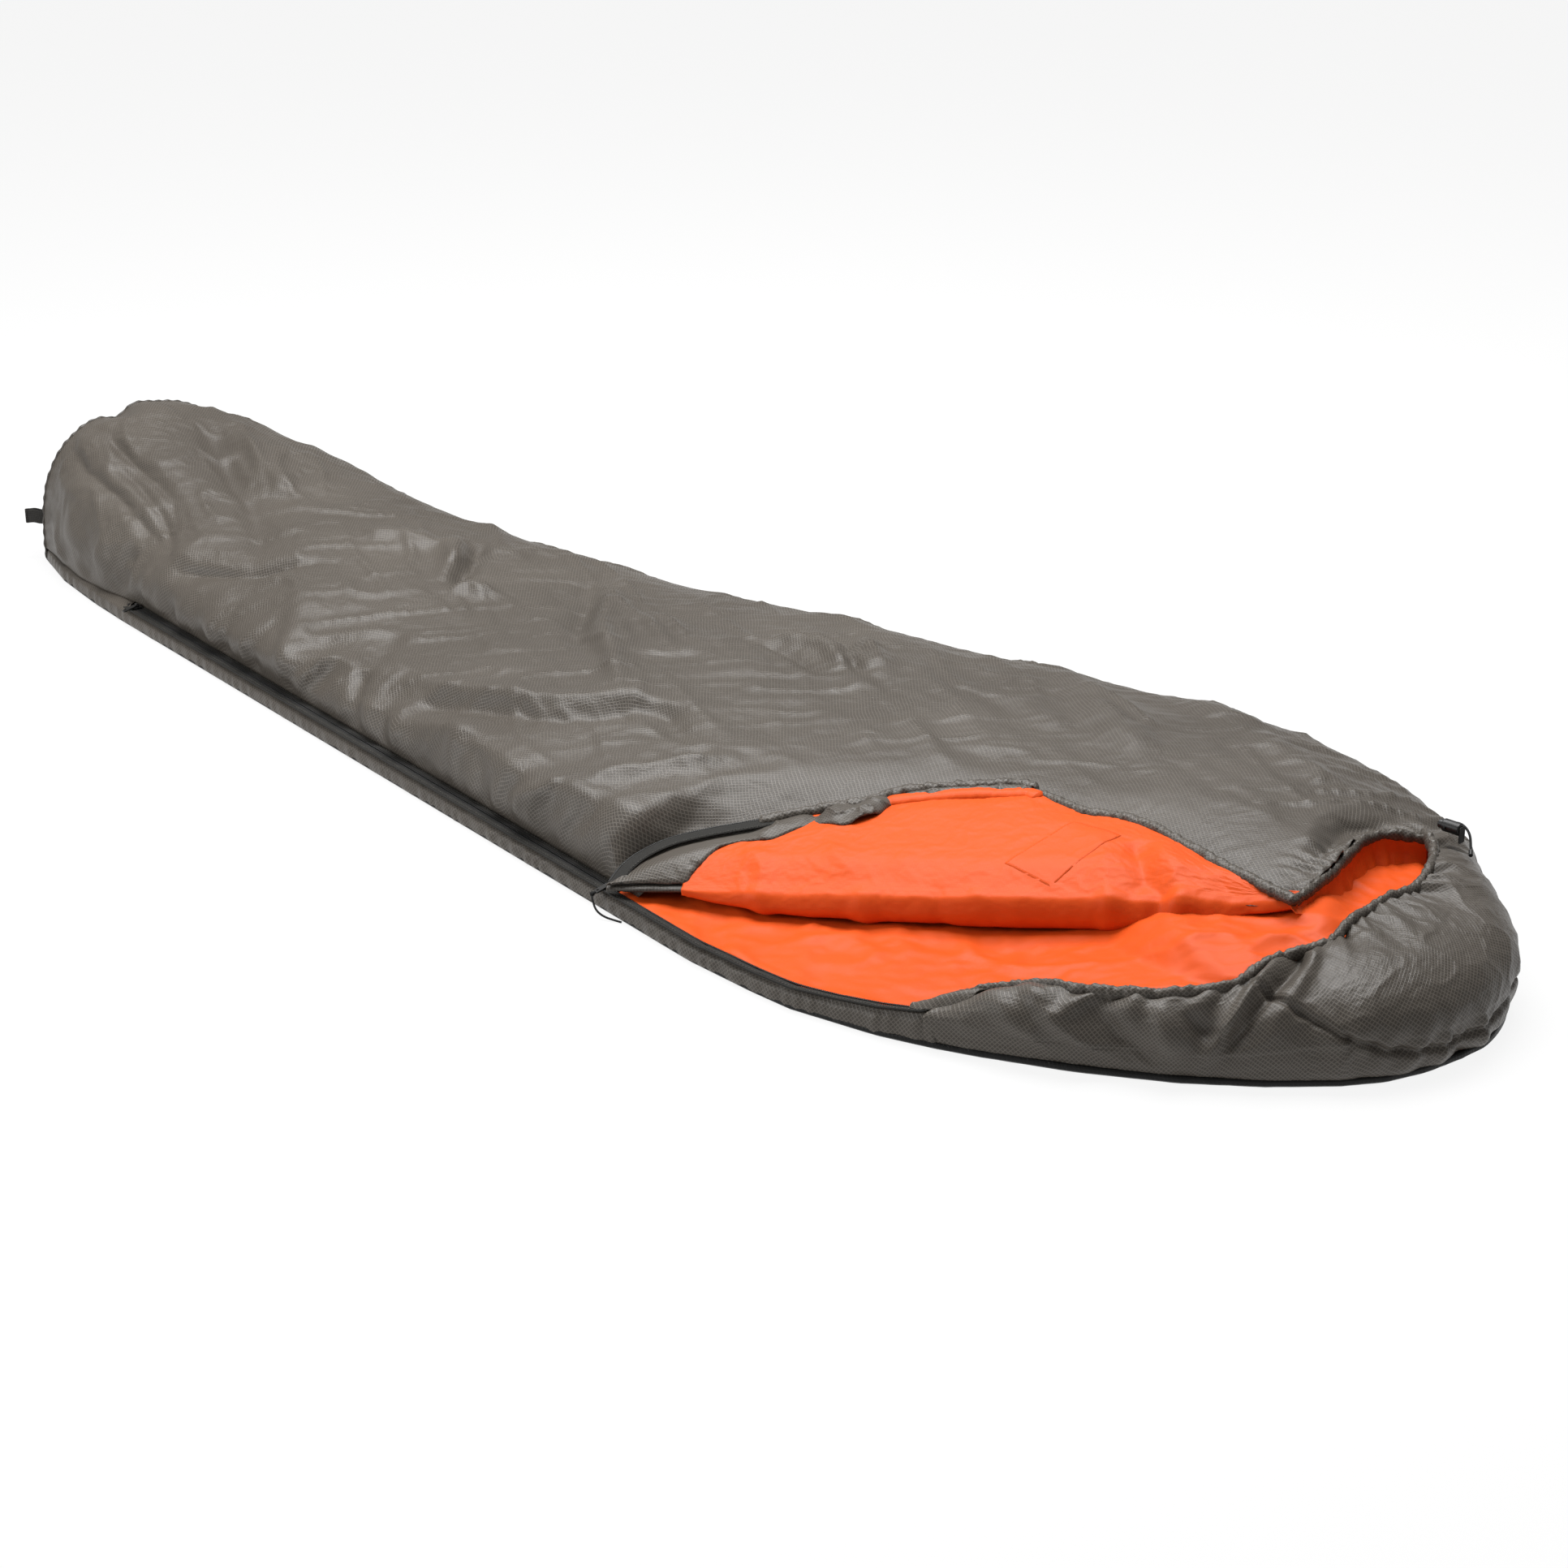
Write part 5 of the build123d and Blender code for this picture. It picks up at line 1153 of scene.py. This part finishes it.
while at < 1.45:
    # gathers that run out from the hem
    w, h = rng.uniform(0.004, 0.010), rng.uniform(0.0015, 0.0052) * rng.choice([1, 1, -1])
    r, sl = rng.uniform(0.020, 0.065), rng.uniform(-0.5, 0.5)
    hb += h * np.exp(-((around - at * 0.24 - sl * to_hem) / (w * (1 + to_hem / 0.03))) ** 2) * np.exp(-(to_hem / r) ** 2)
    at += rng.uniform(0.030, 0.080)
at = -1.2
while at < 1.1:
    # puckers across the crown seam
    w, h = rng.uniform(0.004, 0.009), rng.uniform(0.0015, 0.0045) * rng.choice([1, -1])
    sl = rng.uniform(-0.5, 0.5)
    hb += h * np.exp(-((around - at * 0.24 - sl * sdist) / (w * (1 + np.abs(sdist) / 0.02))) ** 2) * np.exp(-(np.abs(sdist) / 0.028) ** 1.5) * in_seam
    at += rng.uniform(0.05, 0.12)
# long slanted folds on the near wall
for c_phi, sl, h, w in ((-100, 0.9, 0.006, 0.014), (-92, 1.1, 0.007, 0.012), (-84, 0.8, -0.007, 0.012), (-76, 0.4, 0.007, 0.013),
                        (-70, 0.9, -0.006, 0.010), (-64, -0.7, 0.008, 0.012), (-57, -0.8, -0.007, 0.011), (-50, -0.6, 0.006, 0.012)):
    ax_ = math.radians(c_phi) * 0.24
    hb += 1.15 * h * np.exp(-((around - ax_ - sl * (to_hem - 0.04)) / w) ** 2) * np.exp(-((to_hem - 0.040) / 0.036) ** 2) * smooth(to_ground, 0.004, 0.040)
hb *= smooth(PH, -109.5, -105) * (1 - smooth(PH, 80, 83.5))
Hd1 = Hd + nh_ * hb[..., None]
pin = np.zeros((nh, mh))
pin[:, 0] = pin[:, -1] = pin[0] = pin[-1] = 1
pin = np.maximum(pin, 0.8 * np.exp(-(sdist / 0.004) ** 2) * in_seam)
grow = 0.022 + 0.075 * np.exp(-(to_hem / 0.022) ** 2) + 0.04 * np.exp(-(to_ground / 0.02) ** 2) + 0.05 * np.exp(-(sdist / 0.02) ** 2) * in_seam
Hd1 = wrinkle(Hd1, pin, grow, frames=22, cap=0.0045, low=0.2, blur_cells=6, seed=14, bend=0.05)
Hd1[..., 2] = np.maximum(Hd1[..., 2], 0.0045)
hood_fine = finer(Hd1)
o_hood = panel("hood_shell_cloth", hood_fine, M_SHELL, "sack", ["hood_shell", "hood_wadding"], flip=False)
# the far shoulder, where the hood is narrower than the top panel: a gusset closes the panel's end down to the floor
far_end = top1[-1][(top1[-1, :, 1] > 0.186)]
g_out = resample(far_end, 44)
g_in = resample(Hd1[-1][::-1], 44)
kk = np.linspace(0.0, 1.0, 16)[None, :, None]
GU = g_out[:, None] * (1 - kk) + g_in[:, None] * kk
across = np.sin(np.pi * kk[..., 0]) * np.sin(np.pi * np.linspace(0, 1, 44))[:, None]
GU[..., 0] += 0.0055 * across + 0.0012 * fbm(GU[..., 1], GU[..., 2], 0.02, 91, 2) * across
GU[..., 2] = np.maximum(GU[..., 2], 0.0035)
o_gusset = panel("shoulder_gusset_cloth", GU, M_SHELL, "sack", (), flip=False)
keep = smooth(to_ground, 0.0, 0.02) * smooth(to_hem, 0.0, 0.02)
hl = Hd1 - nh_ * (0.004 + 0.006 * keep)[..., None]
hl[..., 2] = np.maximum(hl[..., 2], 0.0185)
cvec = np.array([0.850, 0.0])
rad = hl[..., :2] - cvec
rl = np.linalg.norm(rad, axis=2)
hl[..., :2] = cvec + rad * (np.minimum(rl, (np.linalg.norm(Hd[..., :2] - cvec, axis=2).max(axis=1, keepdims=True) - 0.015)) / rl)[..., None]
hl = hl + nh_ * (0.0016 * fbm(around, arc_h, 0.04, 91, 3))[..., None]
o_hl = panel("hood_lining_cloth", hl[1:-1, 2:-3], M_ORANGE, "sack", ["hood_lining"], flip=True)


# ---------------------------------------------------------------- gathered hems
def gathered(name, points, r, body, replaces, seed, material=None, tall=1.25, wide=0.9, sag=0.0009, up=None, even=1.0):
    """A drawcord casing: a soft tube scrunched along the cord inside it."""
    pts = np.asarray(points, float)
    length = np.linalg.norm(np.diff(pts, axis=0), axis=1).sum()
    n = int(length / 0.0013)
    path = spline(pts, n)
    s = np.linspace(0, length, n)
    g = fbm(s, s * 0, 0.014, seed, 3)
    tuck = ridge_noise(s, s * 0, 0.012, seed + 3, 1.4)
    radius = r * (0.94 + even * (0.14 * g - 0.16 * np.clip(tuck, 0, 1)))
    path[:, 2] += sag * fbm(s, s * 0, 0.026, seed + 5) * 1.6
    path[:, 0] += 0.0012 * fbm(s, s * 0 + 3, 0.030, seed + 6)
    path[:, 1] += 0.0012 * fbm(s, s * 0 + 7, 0.030, seed + 7)
    radius[:4] *= np.linspace(0.5, 1, 4)
    radius[-4:] *= np.linspace(1, 0.5, 4)

    def rough(i, a):
        x, y = np.broadcast_arrays(i * 0.0013, a)
        c, d = np.cos(y) * 0.006, np.sin(y) * 0.006
        k = 0.20 * fbm(x + 0.35 * d, c * 1.0 + 3.1, 0.0060, seed + 9, 2)
        k = k + 0.16 * ridge_noise(x + 0.5 * c, d + 1.7, 0.0085, seed + 11, 1.2)
        return k * even
    return tube(name, path, radius * tall, material or M_SHELL, body, replaces, flat=wide / tall, sides=22,
                rough=rough, up=(0, 0, 1) if up is None else up)


hem_pts = [(0.850 + h * math.cos(math.radians(f)), h * math.sin(math.radians(f)), z) for f, h, z in HEM]
o_hem = gathered("hood_hem_gather", hem_pts, 0.0062, "sack", ["hood_hem", "hood_drawcord"], 101, tall=1.3)
collar_pts = [(0.8800, -0.046, 0.0965), (0.8830, -0.030, 0.0970), (0.8760, 0.024, 0.100), (0.8600, 0.078, 0.101), (0.8500, 0.122, 0.101), (0.8630, 0.152, 0.100),
              (0.8860, 0.174, 0.095)]
o_col = gathered("collar_hem_gather", collar_pts, 0.0055, "sack", ["collar_hem", "collar_drawcord"], 131, tall=1.25)

# lining turned down inside the collar
cpath = spline(collar_pts, 120)
cdir = np.gradient(cpath, axis=0)
cdir /= np.linalg.norm(cdir, axis=1)[:, None]
cout = np.stack([cdir[:, 1], -cdir[:, 0], np.zeros(120)], 1)
if cout[60, 0] < 0:
    cout = -cout
cv = np.linspace(0, 1, 16)
along_c = np.linspace(0, 1, 120)
ripple = 0.0022 * np.sin(along_c * 38 + 7 * fbm(along_c, along_c * 0, 0.15, 711)) * (0.5 + 0.5 * value_noise(along_c * 9, along_c * 0, 5))
drop = 0.024 * smooth(along_c, 0.0, 0.15) + 0.006
CL = cpath[:, None] + cout[:, None] * (0.002 + ripple[:, None] * cv[None] + 0.010 * cv[None] ** 2)[..., None]
CL = CL - np.array([0, 0, 1.0]) * ((0.002 + drop[:, None] * cv[None]) + 0.002 * fbm(along_c[:, None] * 3, cv[None], 0.4, 713))[..., None]
o_colf = panel("collar_facing_cloth", CL, M_ORANGE, "sack", (), flip=False)

# ---------------------------------------------------------------- turned-back corner
AC_T, CB_T = _ac, _cb


def d_edge(s):
    return np.where(s < 0.403, np.interp(s, _ac[:, 0], _ac[:, 1]), np.interp(s, _cb[:, 0], _cb[:, 1]))


def flap_puff(s, d):
    """Height of the orange side above its plane, with its own soft folds."""
    z = 0.0060 * smooth(d, 0.0, 0.05) * smooth(d_edge(s) - d, 0.0, 0.05)
    z = z + 0.0022 * fbm(s, d, 0.10, 201, 2) + 0.0007 * ridge_noise(s + 0.5 * d, d - 0.3 * s, 0.06, 203)
    z = z + 0.0004 * ridge_noise(s - 0.6 * d, d + 0.2 * s, 0.030, 207)
    z = z + fold(s, d, spline([(0.516, 0.085), (0.527, 0.050), (0.538, 0.015), (0.552, -0.035)], 18), -0.0075, 0.016, 0.012, 0.2)
    z = z + fold(s, d, spline([(0.540, 0.085), (0.556, 0.045), (0.570, 0.010), (0.585, -0.030)], 18), 0.0055, 0.020, 0.022, 0.2)
    z = z + fold(s, d, spline([(0.470, 0.110), (0.490, 0.060), (0.500, 0.010), (0.505, -0.030)], 18), 0.0045, 0.020, 0.022, 0.2)
    z = z + fold(s, d, spline([(0.600, 0.030), (0.620, 0.010), (0.640, -0.010)], 12), -0.003, 0.010, 0.010, 0.3)
    z = z + fold(s, d, spline([(0.130, 0.060), (0.150, 0.030), (0.155, 0.000)], 12), 0.004, 0.014, 0.012, 0.3)
    z = z + fold(s, d, spline([(0.210, 0.080), (0.230, 0.040), (0.260, 0.010)], 12), 0.003, 0.014, 0.014, 0.3)
    return z


def puffed(s, d):
    z = 0.0080 + flap_puff(s, d) * smooth(d_edge(s) - d, 0.0, 0.02) - 0.0065 * (1 - smooth(d, -0.012, 0.055)) ** 1.5
    return -smin(-z, -0.0016 + 0 * z, 0.002)


SAG_S = [0.0, 0.06, 0.12, 0.25, 0.36, 0.45, 0.54, 0.585, 0.62, 0.65, 0.684]
SAG = [0.000, 0.001, 0.005, 0.014, 0.019, 0.020, 0.019, 0.015, 0.009, 0.004, 0.0]
FAT_S = [0.0, 0.074, 0.100, 0.16, 0.60, 0.64, 0.684]
FAT = [0.10, 0.14, 0.50, 0.95, 1.0, 0.70, 0.45]


def flap_section(s, m):
    """From the free edge down to the fold, round it and back under, as (d, z) in the flap's own frame."""
    sag, k = float(np.interp(s, SAG_S, SAG)), float(np.interp(s, FAT_S, FAT))
    top_d = float(d_edge(np.array(s))) - 0.005
    top_d = max(min(top_d, 0.9 * (s - 0.072) + 0.05 if s < 0.2 else 1), 0.012)
    d = np.linspace(top_d, 0.004, 60)
    sa = np.full(60, s)
    z = puffed(sa, d)
    z0 = float(z[-1])
    roll = [(0.004, z0), (-0.0045 * k, z0 - 0.0030 * k), (-0.0105 * k, z0 - 0.0085 * k - 0.20 * sag), (-0.0130 * k, -0.0085 * k - 0.55 * sag),
            (-0.0100 * k, -0.0115 * k - 0.90 * sag), (-0.0020, -0.0135 * k - 1.0 * sag), (0.0120, -0.0135 * k - 0.80 * sag), (0.0300, -0.0130 * k - 0.35 * sag),
            (0.0460, -0.0125 * k - 0.10 * sag)]
    r = spline(roll, 60)
    flat = np.column_stack([d, z])
    return np.vstack([resample(flat, m - 36)[:-1], resample(r, 37)])


ns_, md_ = (196, 96)
ss = np.linspace(0.074, 0.684, ns_)
sec = np.array([flap_section(s, md_) for s in ss])
fs, fd, fz = np.repeat(ss[:, None], md_, 1), sec[..., 0], sec[..., 1]
flap_l = on_flap(fs, fd, fz)
nf_ = grid_normals(flap_l)
if nf_[ns_ // 2, 10, 2] < 0:
    nf_ = -nf_
w_ = np.repeat(np.linspace(0, 1, md_)[None], ns_, 0)
on_roll = smooth(0.02 - fd, 0.0, 0.03) * smooth(1 - w_, 0.0, 0.12)
rb = 0.0016 * fbm(fs, w_ * 0.12, 0.05, 301, 3)
for c_s, h, wd, sl in ((0.552, -0.0034, 0.010, -0.04), (0.572, 0.004, 0.014, -0.03), (0.505, 0.003, 0.014, 0.0), (0.155, 0.003, 0.012, 0.02),
                       (0.260, 0.003, 0.014, 0.03), (0.335, -0.002, 0.012, 0.03), (0.640, -0.002, 0.010, -0.02)):
    rb = rb + h * np.exp(-((fs - c_s - sl * (w_ - 0.65)) / wd) ** 2)
fedge = np.maximum(0, d_edge(fs) - fd)
gath = zip_gathers(fs - 0.3, fedge, seed=33, rate=0.034, amp=0.0020, reach=0.035) * smooth(fd, 0.0, 0.02) * smooth(fedge, 0.004, 0.012)
flap_l = flap_l + nf_ * (rb * on_roll + gath)[..., None]
pin = np.zeros((ns_, md_))
pin[:, 0] = pin[:, -1] = pin[0] = pin[-1] = 1
grow = 0.010 + 0.035 * np.exp(-(fedge / 0.015) ** 2)
flap_l = wrinkle(flap_l, pin, grow, frames=18, cap=0.0035, low=0.2, blur_cells=5, seed=18, bend=0.05)
o_fl = panel("flap_lining_cloth", finer(flap_l), M_ORANGE, None, ["flap_lining", "flap_wadding"], flip=True)

# outer cloth of the flap, face down
kd = np.linspace(0.0, 1.0, 50)
fs2 = np.repeat(np.linspace(0.012, 0.640, 170)[:, None], 50, 1)
fd2 = 0.004 + (d_edge(fs2) - 0.007) * kd[None]
fz2 = -0.0024 + 0.0030 * smooth(fd2, 0.004, 0.06) + 0.0008 * fbm(fs2, fd2, 0.06, 221, 3) * smooth(fd2, 0.0, 0.03)
o_fs = panel("flap_shell_cloth", on_flap(fs2, fd2, fz2), M_SHELL, "flap", ["flap_shell"], flip=True)

# facing of the zip edge: grey cloth between the tape and the lining
FACE_IN = [(-0.004, 0.004), (0.030, 0.006), (0.074, 0.008), (0.082, 0.020), (0.092, 0.040), (0.103, 0.060), (0.118, 0.069), (0.150, 0.073),
           (0.167, 0.088), (0.180, 0.100), (0.200, 0.106), (0.222, 0.101), (0.250, 0.122), (0.262, 0.150), (0.300, 0.165), (0.350, 0.172),
           (0.398, 0.172)]
fin = spline(FACE_IN, 200)
fout = resample(_ac, 200)
kk = np.linspace(0, 1, 22)
Ff = fin[:, None] * (1 - kk)[None, :, None] + fout[:, None] * kk[None, :, None]
fs3, fd3 = Ff[..., 0], Ff[..., 1]
zz3 = 0.0020 + puffed(fs3, fd3) + 0.0045 * np.sin(math.pi * kk)[None] ** 0.8 * smooth(fs3, 0.0, 0.06)
zz3 += 0.0030 * ridge_noise(fs3 + 0.7 * fd3, fd3 - 0.5 * fs3, 0.030, 231) * smooth(fs3, 0.04, 0.10)
zz3 += 0.0050 * np.exp(-((fs3 - 0.205) / 0.010) ** 2) * smooth(kk, 0.1, 0.6)[None] - 0.0045 * np.exp(-((fs3 - 0.186) / 0.009) ** 2)
zz3 += 0.0045 * np.exp(-((fs3 - 0.240) / 0.012) ** 2) - 0.0035 * np.exp(-((fs3 - 0.262) / 0.008) ** 2)
in_edge = (1 - kk)[None] * np.linalg.norm(fin - fout, axis=1)[:, None]
flat_zone = 1 - smooth(fs3, 0.120, 0.160)
zz3 = zz3 * (1 - flat_zone) + smin(zz3, 0.0088 + 0.35 * np.maximum(0, in_edge - 0.0150), 0.004) * flat_zone
zz3[:, -1] = 0.0060
zz3[:, -2] = 0.5 * (zz3[:, -2] + 0.0060)
zz3[:, 0] -= 0.0020
o_ff = panel("flap_facing_cloth", finer(on_flap(fs3, fd3, zz3)), M_SHELL, "flap", ["flap_facing"], flip=False)
# rolled rim of the zip edge, from where the tape turns under to the corner
rim_sd = spline([(0.128, 0.112), (0.170, 0.131), (0.200, 0.143), (0.217, 0.149), (0.245, 0.162), (0.271, 0.175), (0.321, 0.184), (0.370, 0.190),
                 (0.396, 0.190), (0.404, 0.184)], 14)
rim_pts = [tuple(on_flap(np.array(a), np.array(b), np.array(0.0098))) for a, b in rim_sd]
gathered("flap_edge_roll", rim_pts, 0.0068, "flap", [], 151, tall=1.05, wide=1.1)
lip_sd = spline([(0.246, 0.150), (0.262, 0.158), (0.300, 0.166), (0.350, 0.172), (0.396, 0.172), (0.410, 0.164)], 12)
lip_pts = [tuple(on_flap(np.array(a), np.array(b), np.array(0.0095))) for a, b in lip_sd]
# tape and coil of the turned-back zip half
tape_sd = spline([(0.002, 0.006), (0.004, 0.014), (0.009, 0.028), (0.020, 0.048), (0.045, 0.073), (0.075, 0.089), (0.103, 0.100), (0.135, 0.111),
                  (0.160, 0.121)], 160)
tp = on_flap(tape_sd[:, 0], tape_sd[:, 1], np.interp(np.linspace(0, 1, 160), [0, 0.12, 0.3, 0.9, 1], [0.005, 0.010, 0.0125, 0.0125, 0.010]))
tt = np.gradient(tape_sd, axis=0)
tt /= np.linalg.norm(tt, axis=1)[:, None]
ac_dir = U3[None] * (-tt[:, 1:2]) + V3[None] * tt[:, 0:1]
o_ft = ribbon("flap_tape_cloth", tp - ac_dir * 0.0024 + M3 * 0.0004, 0.0148, ac_dir, M_TAPE, "flap", ["flap_zip_tape"])
stitches("flap_tape_stitch", tp - ac_dir * 0.0078 + M3 * 0.0010, M_THREAD, "flap", up=tuple(M3))
tube("flap_coil_core", tp + ac_dir * 0.0055, 0.0008, M_COIL, "flap", ["flap_zip_coil"], sides=6, up=tuple(M3))
teeth("flap_zip_teeth", tp + ac_dir * 0.0058, 1, "flap", up=tuple(M3))
hem_sd = [(0.399, 0.180), (0.415, 0.172), (0.435, 0.158), (0.463, 0.143), (0.505, 0.131), (0.550, 0.101), (0.600, 0.056), (0.640, 0.024), (0.668, 0.002), (0.684, -0.010)]
hem3 = [tuple(on_flap(np.array(a), np.array(b), np.array(0.0068))) for a, b in hem_sd]
o_lip = gathered("flap_lining_lip", lip_pts, 0.0066, "flap", [], 171, material=M_ORANGE, tall=0.9, wide=1.5, up=tuple(M3), even=0.3)
o_fh = gathered("flap_hem_gather", hem3, 0.0058, "flap", ["flap_hem", "flap_drawcord"], 161, tall=1.05, wide=1.15, up=tuple(M3))

# ---------------------------------------------------------------- the fold itself
def small_roll(s0, s1, n, pts_of, m, seed):
    srow = np.linspace(s0, s1, n)
    sec2 = np.array([spline(pts_of(s), m) for s in srow])
    d, z = sec2[..., 0], sec2[..., 1]
    s2 = np.repeat(srow[:, None], m, 1)
    p = on_flap(s2, d, z)
    if seed:
        nr = grid_normals(p)
        if np.dot(nr[n // 2, m // 3], -V3) < 0:
            nr = -nr
        w = np.linspace(0, 1, m)[None]
        p = p + nr * ((0.0010 * fbm(s2, w * 0.05, 0.03, seed, 3) + 0.0004) * smooth(w, 0, 0.15) * smooth(1 - w, 0, 0.2))[..., None]
    return p


def facing_roll(s):
    return [(0.012, 0.0006), (0.0065, 0.0010), (0.0022, 0.0002), (0.0012, -0.0018), (0.0036, -0.0038), (0.0120, -0.0050)]


def shell_roll(s):
    return [(0.018, -0.0020), (0.010, -0.0024), (0.0050, -0.0029), (0.0036, -0.0036), (0.0050, -0.0043), (0.010, -0.0048), (0.018, -0.0050)]


# the facing roll under the fold uses the painted-shade cloth: painted shadow beneath the turned-back facing
o_rollg = panel("fold_roll_facing", finer(small_roll(-0.006, 0.080, 50, facing_roll, 26, 311)), M_SHELL_PAINTED_SHADE, None, (), flip=True)
o_roli = panel("fold_roll_shell", small_roll(0.010, 0.612, 160, shell_roll, 16, 0), M_SHELL, None, (), flip=False)
# the corner's lining and the two fold rolls get their placement baked into their meshes; the two heights listed with
# each are not used
for o, low, high in ((o_fl, -0.0032, 0.0010), (o_rollg, -0.0034, -0.0002), (o_roli, -0.0046, -0.0024)):
    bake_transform(o)

# inner pocket on the lining: a sewn four-sided patch
pk_a, pk_b = np.meshgrid(np.linspace(0, 1, 30), np.linspace(0, 1, 30), indexing="ij")
sk = 0.446 + pk_a * 0.058 - pk_b * 0.050
pk_d = 0.010 + pk_a * 0.080 + pk_b * 0.028
pz = puffed(sk, pk_d) + 0.00015
pin_p = on_flap(sk, pk_d, pz)
o_pocket = panel("pocket_panel", pin_p, M_ORANGE, "flap", ["inner_pocket"], thick=0.0004, flip=False)
edge_sd = [(0.446, 0.010), (0.504, 0.090), (0.454, 0.118), (0.396, 0.038), (0.446, 0.010)]
e2 = resample(edge_sd, 160)
e2 = e2 + (np.array([0.450, 0.064]) - e2) * 0.06
stitches("pocket_stitch", on_flap(e2[:, 0], e2[:, 1], puffed(e2[:, 0], e2[:, 1]) + 0.00025), M_ORANGE, "flap", radius=0.00010, up=tuple(M3))

# ---------------------------------------------------------------- head end of the zip
gx_, gv_ = np.meshgrid(np.linspace(0.694, 0.748, 40), np.linspace(0, 1, 20), indexing="ij")
wy = -np.interp(gx_, [a for a, b in HW], [b for a, b in HW])
mouth = 0.012 * np.exp(-((gx_ - 0.675) / 0.006) ** 2)
gyy = wy + 0.006 + gv_ * (0.014 + 0.016 * smooth(gx_, 0.695, 0.745)) + 0.006 * np.exp(-((gx_ - 0.694) / 0.006) ** 2) * (0.5 - gv_)
gzz = np.interp(gx_, TAPE_X, TAPE_Z) + 0.0010 + (0.004 + 0.016 * smooth(gx_, 0.694, 0.745)) * np.sin(0.5 * math.pi * np.minimum(1, 1.6 * gv_)) - 0.003 * smooth(gv_, 0.7, 1.0)
gzz += 0.0014 * ridge_noise(gx_, gyy, 0.016, 401)
panel("garage_cloth", np.stack([gx_, gyy, gzz], 2), M_SHELL, "sack", ["zip_garage"], thick=0.0010, flip=False)

# ---------------------------------------------------------------- hang loop of webbing
ldir = np.array([-0.83, -0.56]) / math.hypot(0.83, 0.56)
lside = np.array([-ldir[1], ldir[0]])
ang = np.linspace(-math.pi / 2, math.pi / 2, 26)
half_w = 0.0041
arc_pts = [(0.0350 + half_w * math.cos(a) * 1.0, half_w * math.sin(a)) for a in ang]
lp = [(0.0040, -0.0012)] + [(0.010, -0.0030), (0.020, -half_w)] + arc_pts + [(0.020, half_w), (0.010, 0.0030), (0.0040, 0.0012)]
lp = spline(lp, 110)
base_pt = np.array([-1.1036, -0.143])
lxy = base_pt + lp[:, :1] * ldir + lp[:, 1:] * lside
wv = np.linspace(0, 1, 12)
L = np.zeros((110, 12, 3))
for j, v in enumerate(wv):
    L[:, j, :2] = lxy
    L[:, j, 2] = 0.046 + 0.018 * v + 0.0006 * np.sin(lp[:, 0] * 300)
panel("hang_loop_webbing", L, M_WEB, "sack", ["hang_loop"], thick=0.0012, flip=False)

# ---------------------------------------------------------------- the CAD drawcords inside the hems are hidden along with the hems

# ---------------------------------------------------------------- floor and light
floor_me = bpy.data.meshes.new("floor")
floor_me.from_pydata([(-40, -40, 0), (40, -40, 0), (40, 40, 0), (-40, 40, 0)], [], [(0, 1, 2, 3)])
floor = bpy.data.objects.new("floor", floor_me)
scene.collection.objects.link(floor)
fm, ft, fb = new_material("floor_paper")
fb.inputs["Base Color"].default_value = (0.075, 0.075, 0.075, 1)
fb.inputs["Roughness"].default_value = 0.9
fb.inputs["Specular IOR Level"].default_value = 0.1
fb.inputs["Emission Color"].default_value = (1, 1, 1, 1)
fb.inputs["Emission Strength"].default_value = 0.88
floor_me.materials.append(fm)


def area_light(name, at, to, size, power, sy=None):
    d = bpy.data.lights.new(name, "AREA")
    d.shape = "RECTANGLE"
    d.size, d.size_y = size, sy or size
    d.energy = power
    o = bpy.data.objects.new(name, d)
    scene.collection.objects.link(o)
    o.location = at
    o.rotation_euler = (Vector(to) - Vector(at)).to_track_quat("-Z", "Y").to_euler()
    return o


area_light("key", (-0.38, 0.42, 2.9), (-0.1, 0.05, 0.0), 2.7, 200, 1.9)
area_light("fill", (-1.0, -2.4, 1.0), (-0.1, -0.25, 0.05), 1.3, 36)
world = bpy.data.worlds.new("studio")
scene.world = world
world.use_nodes = True
world.node_tree.nodes["Background"].inputs[0].default_value = (1, 0.99, 0.97, 1)
world.node_tree.nodes["Background"].inputs[1].default_value = 0.32
scene.view_settings.view_transform = "Standard"
scene.view_settings.look = "None"
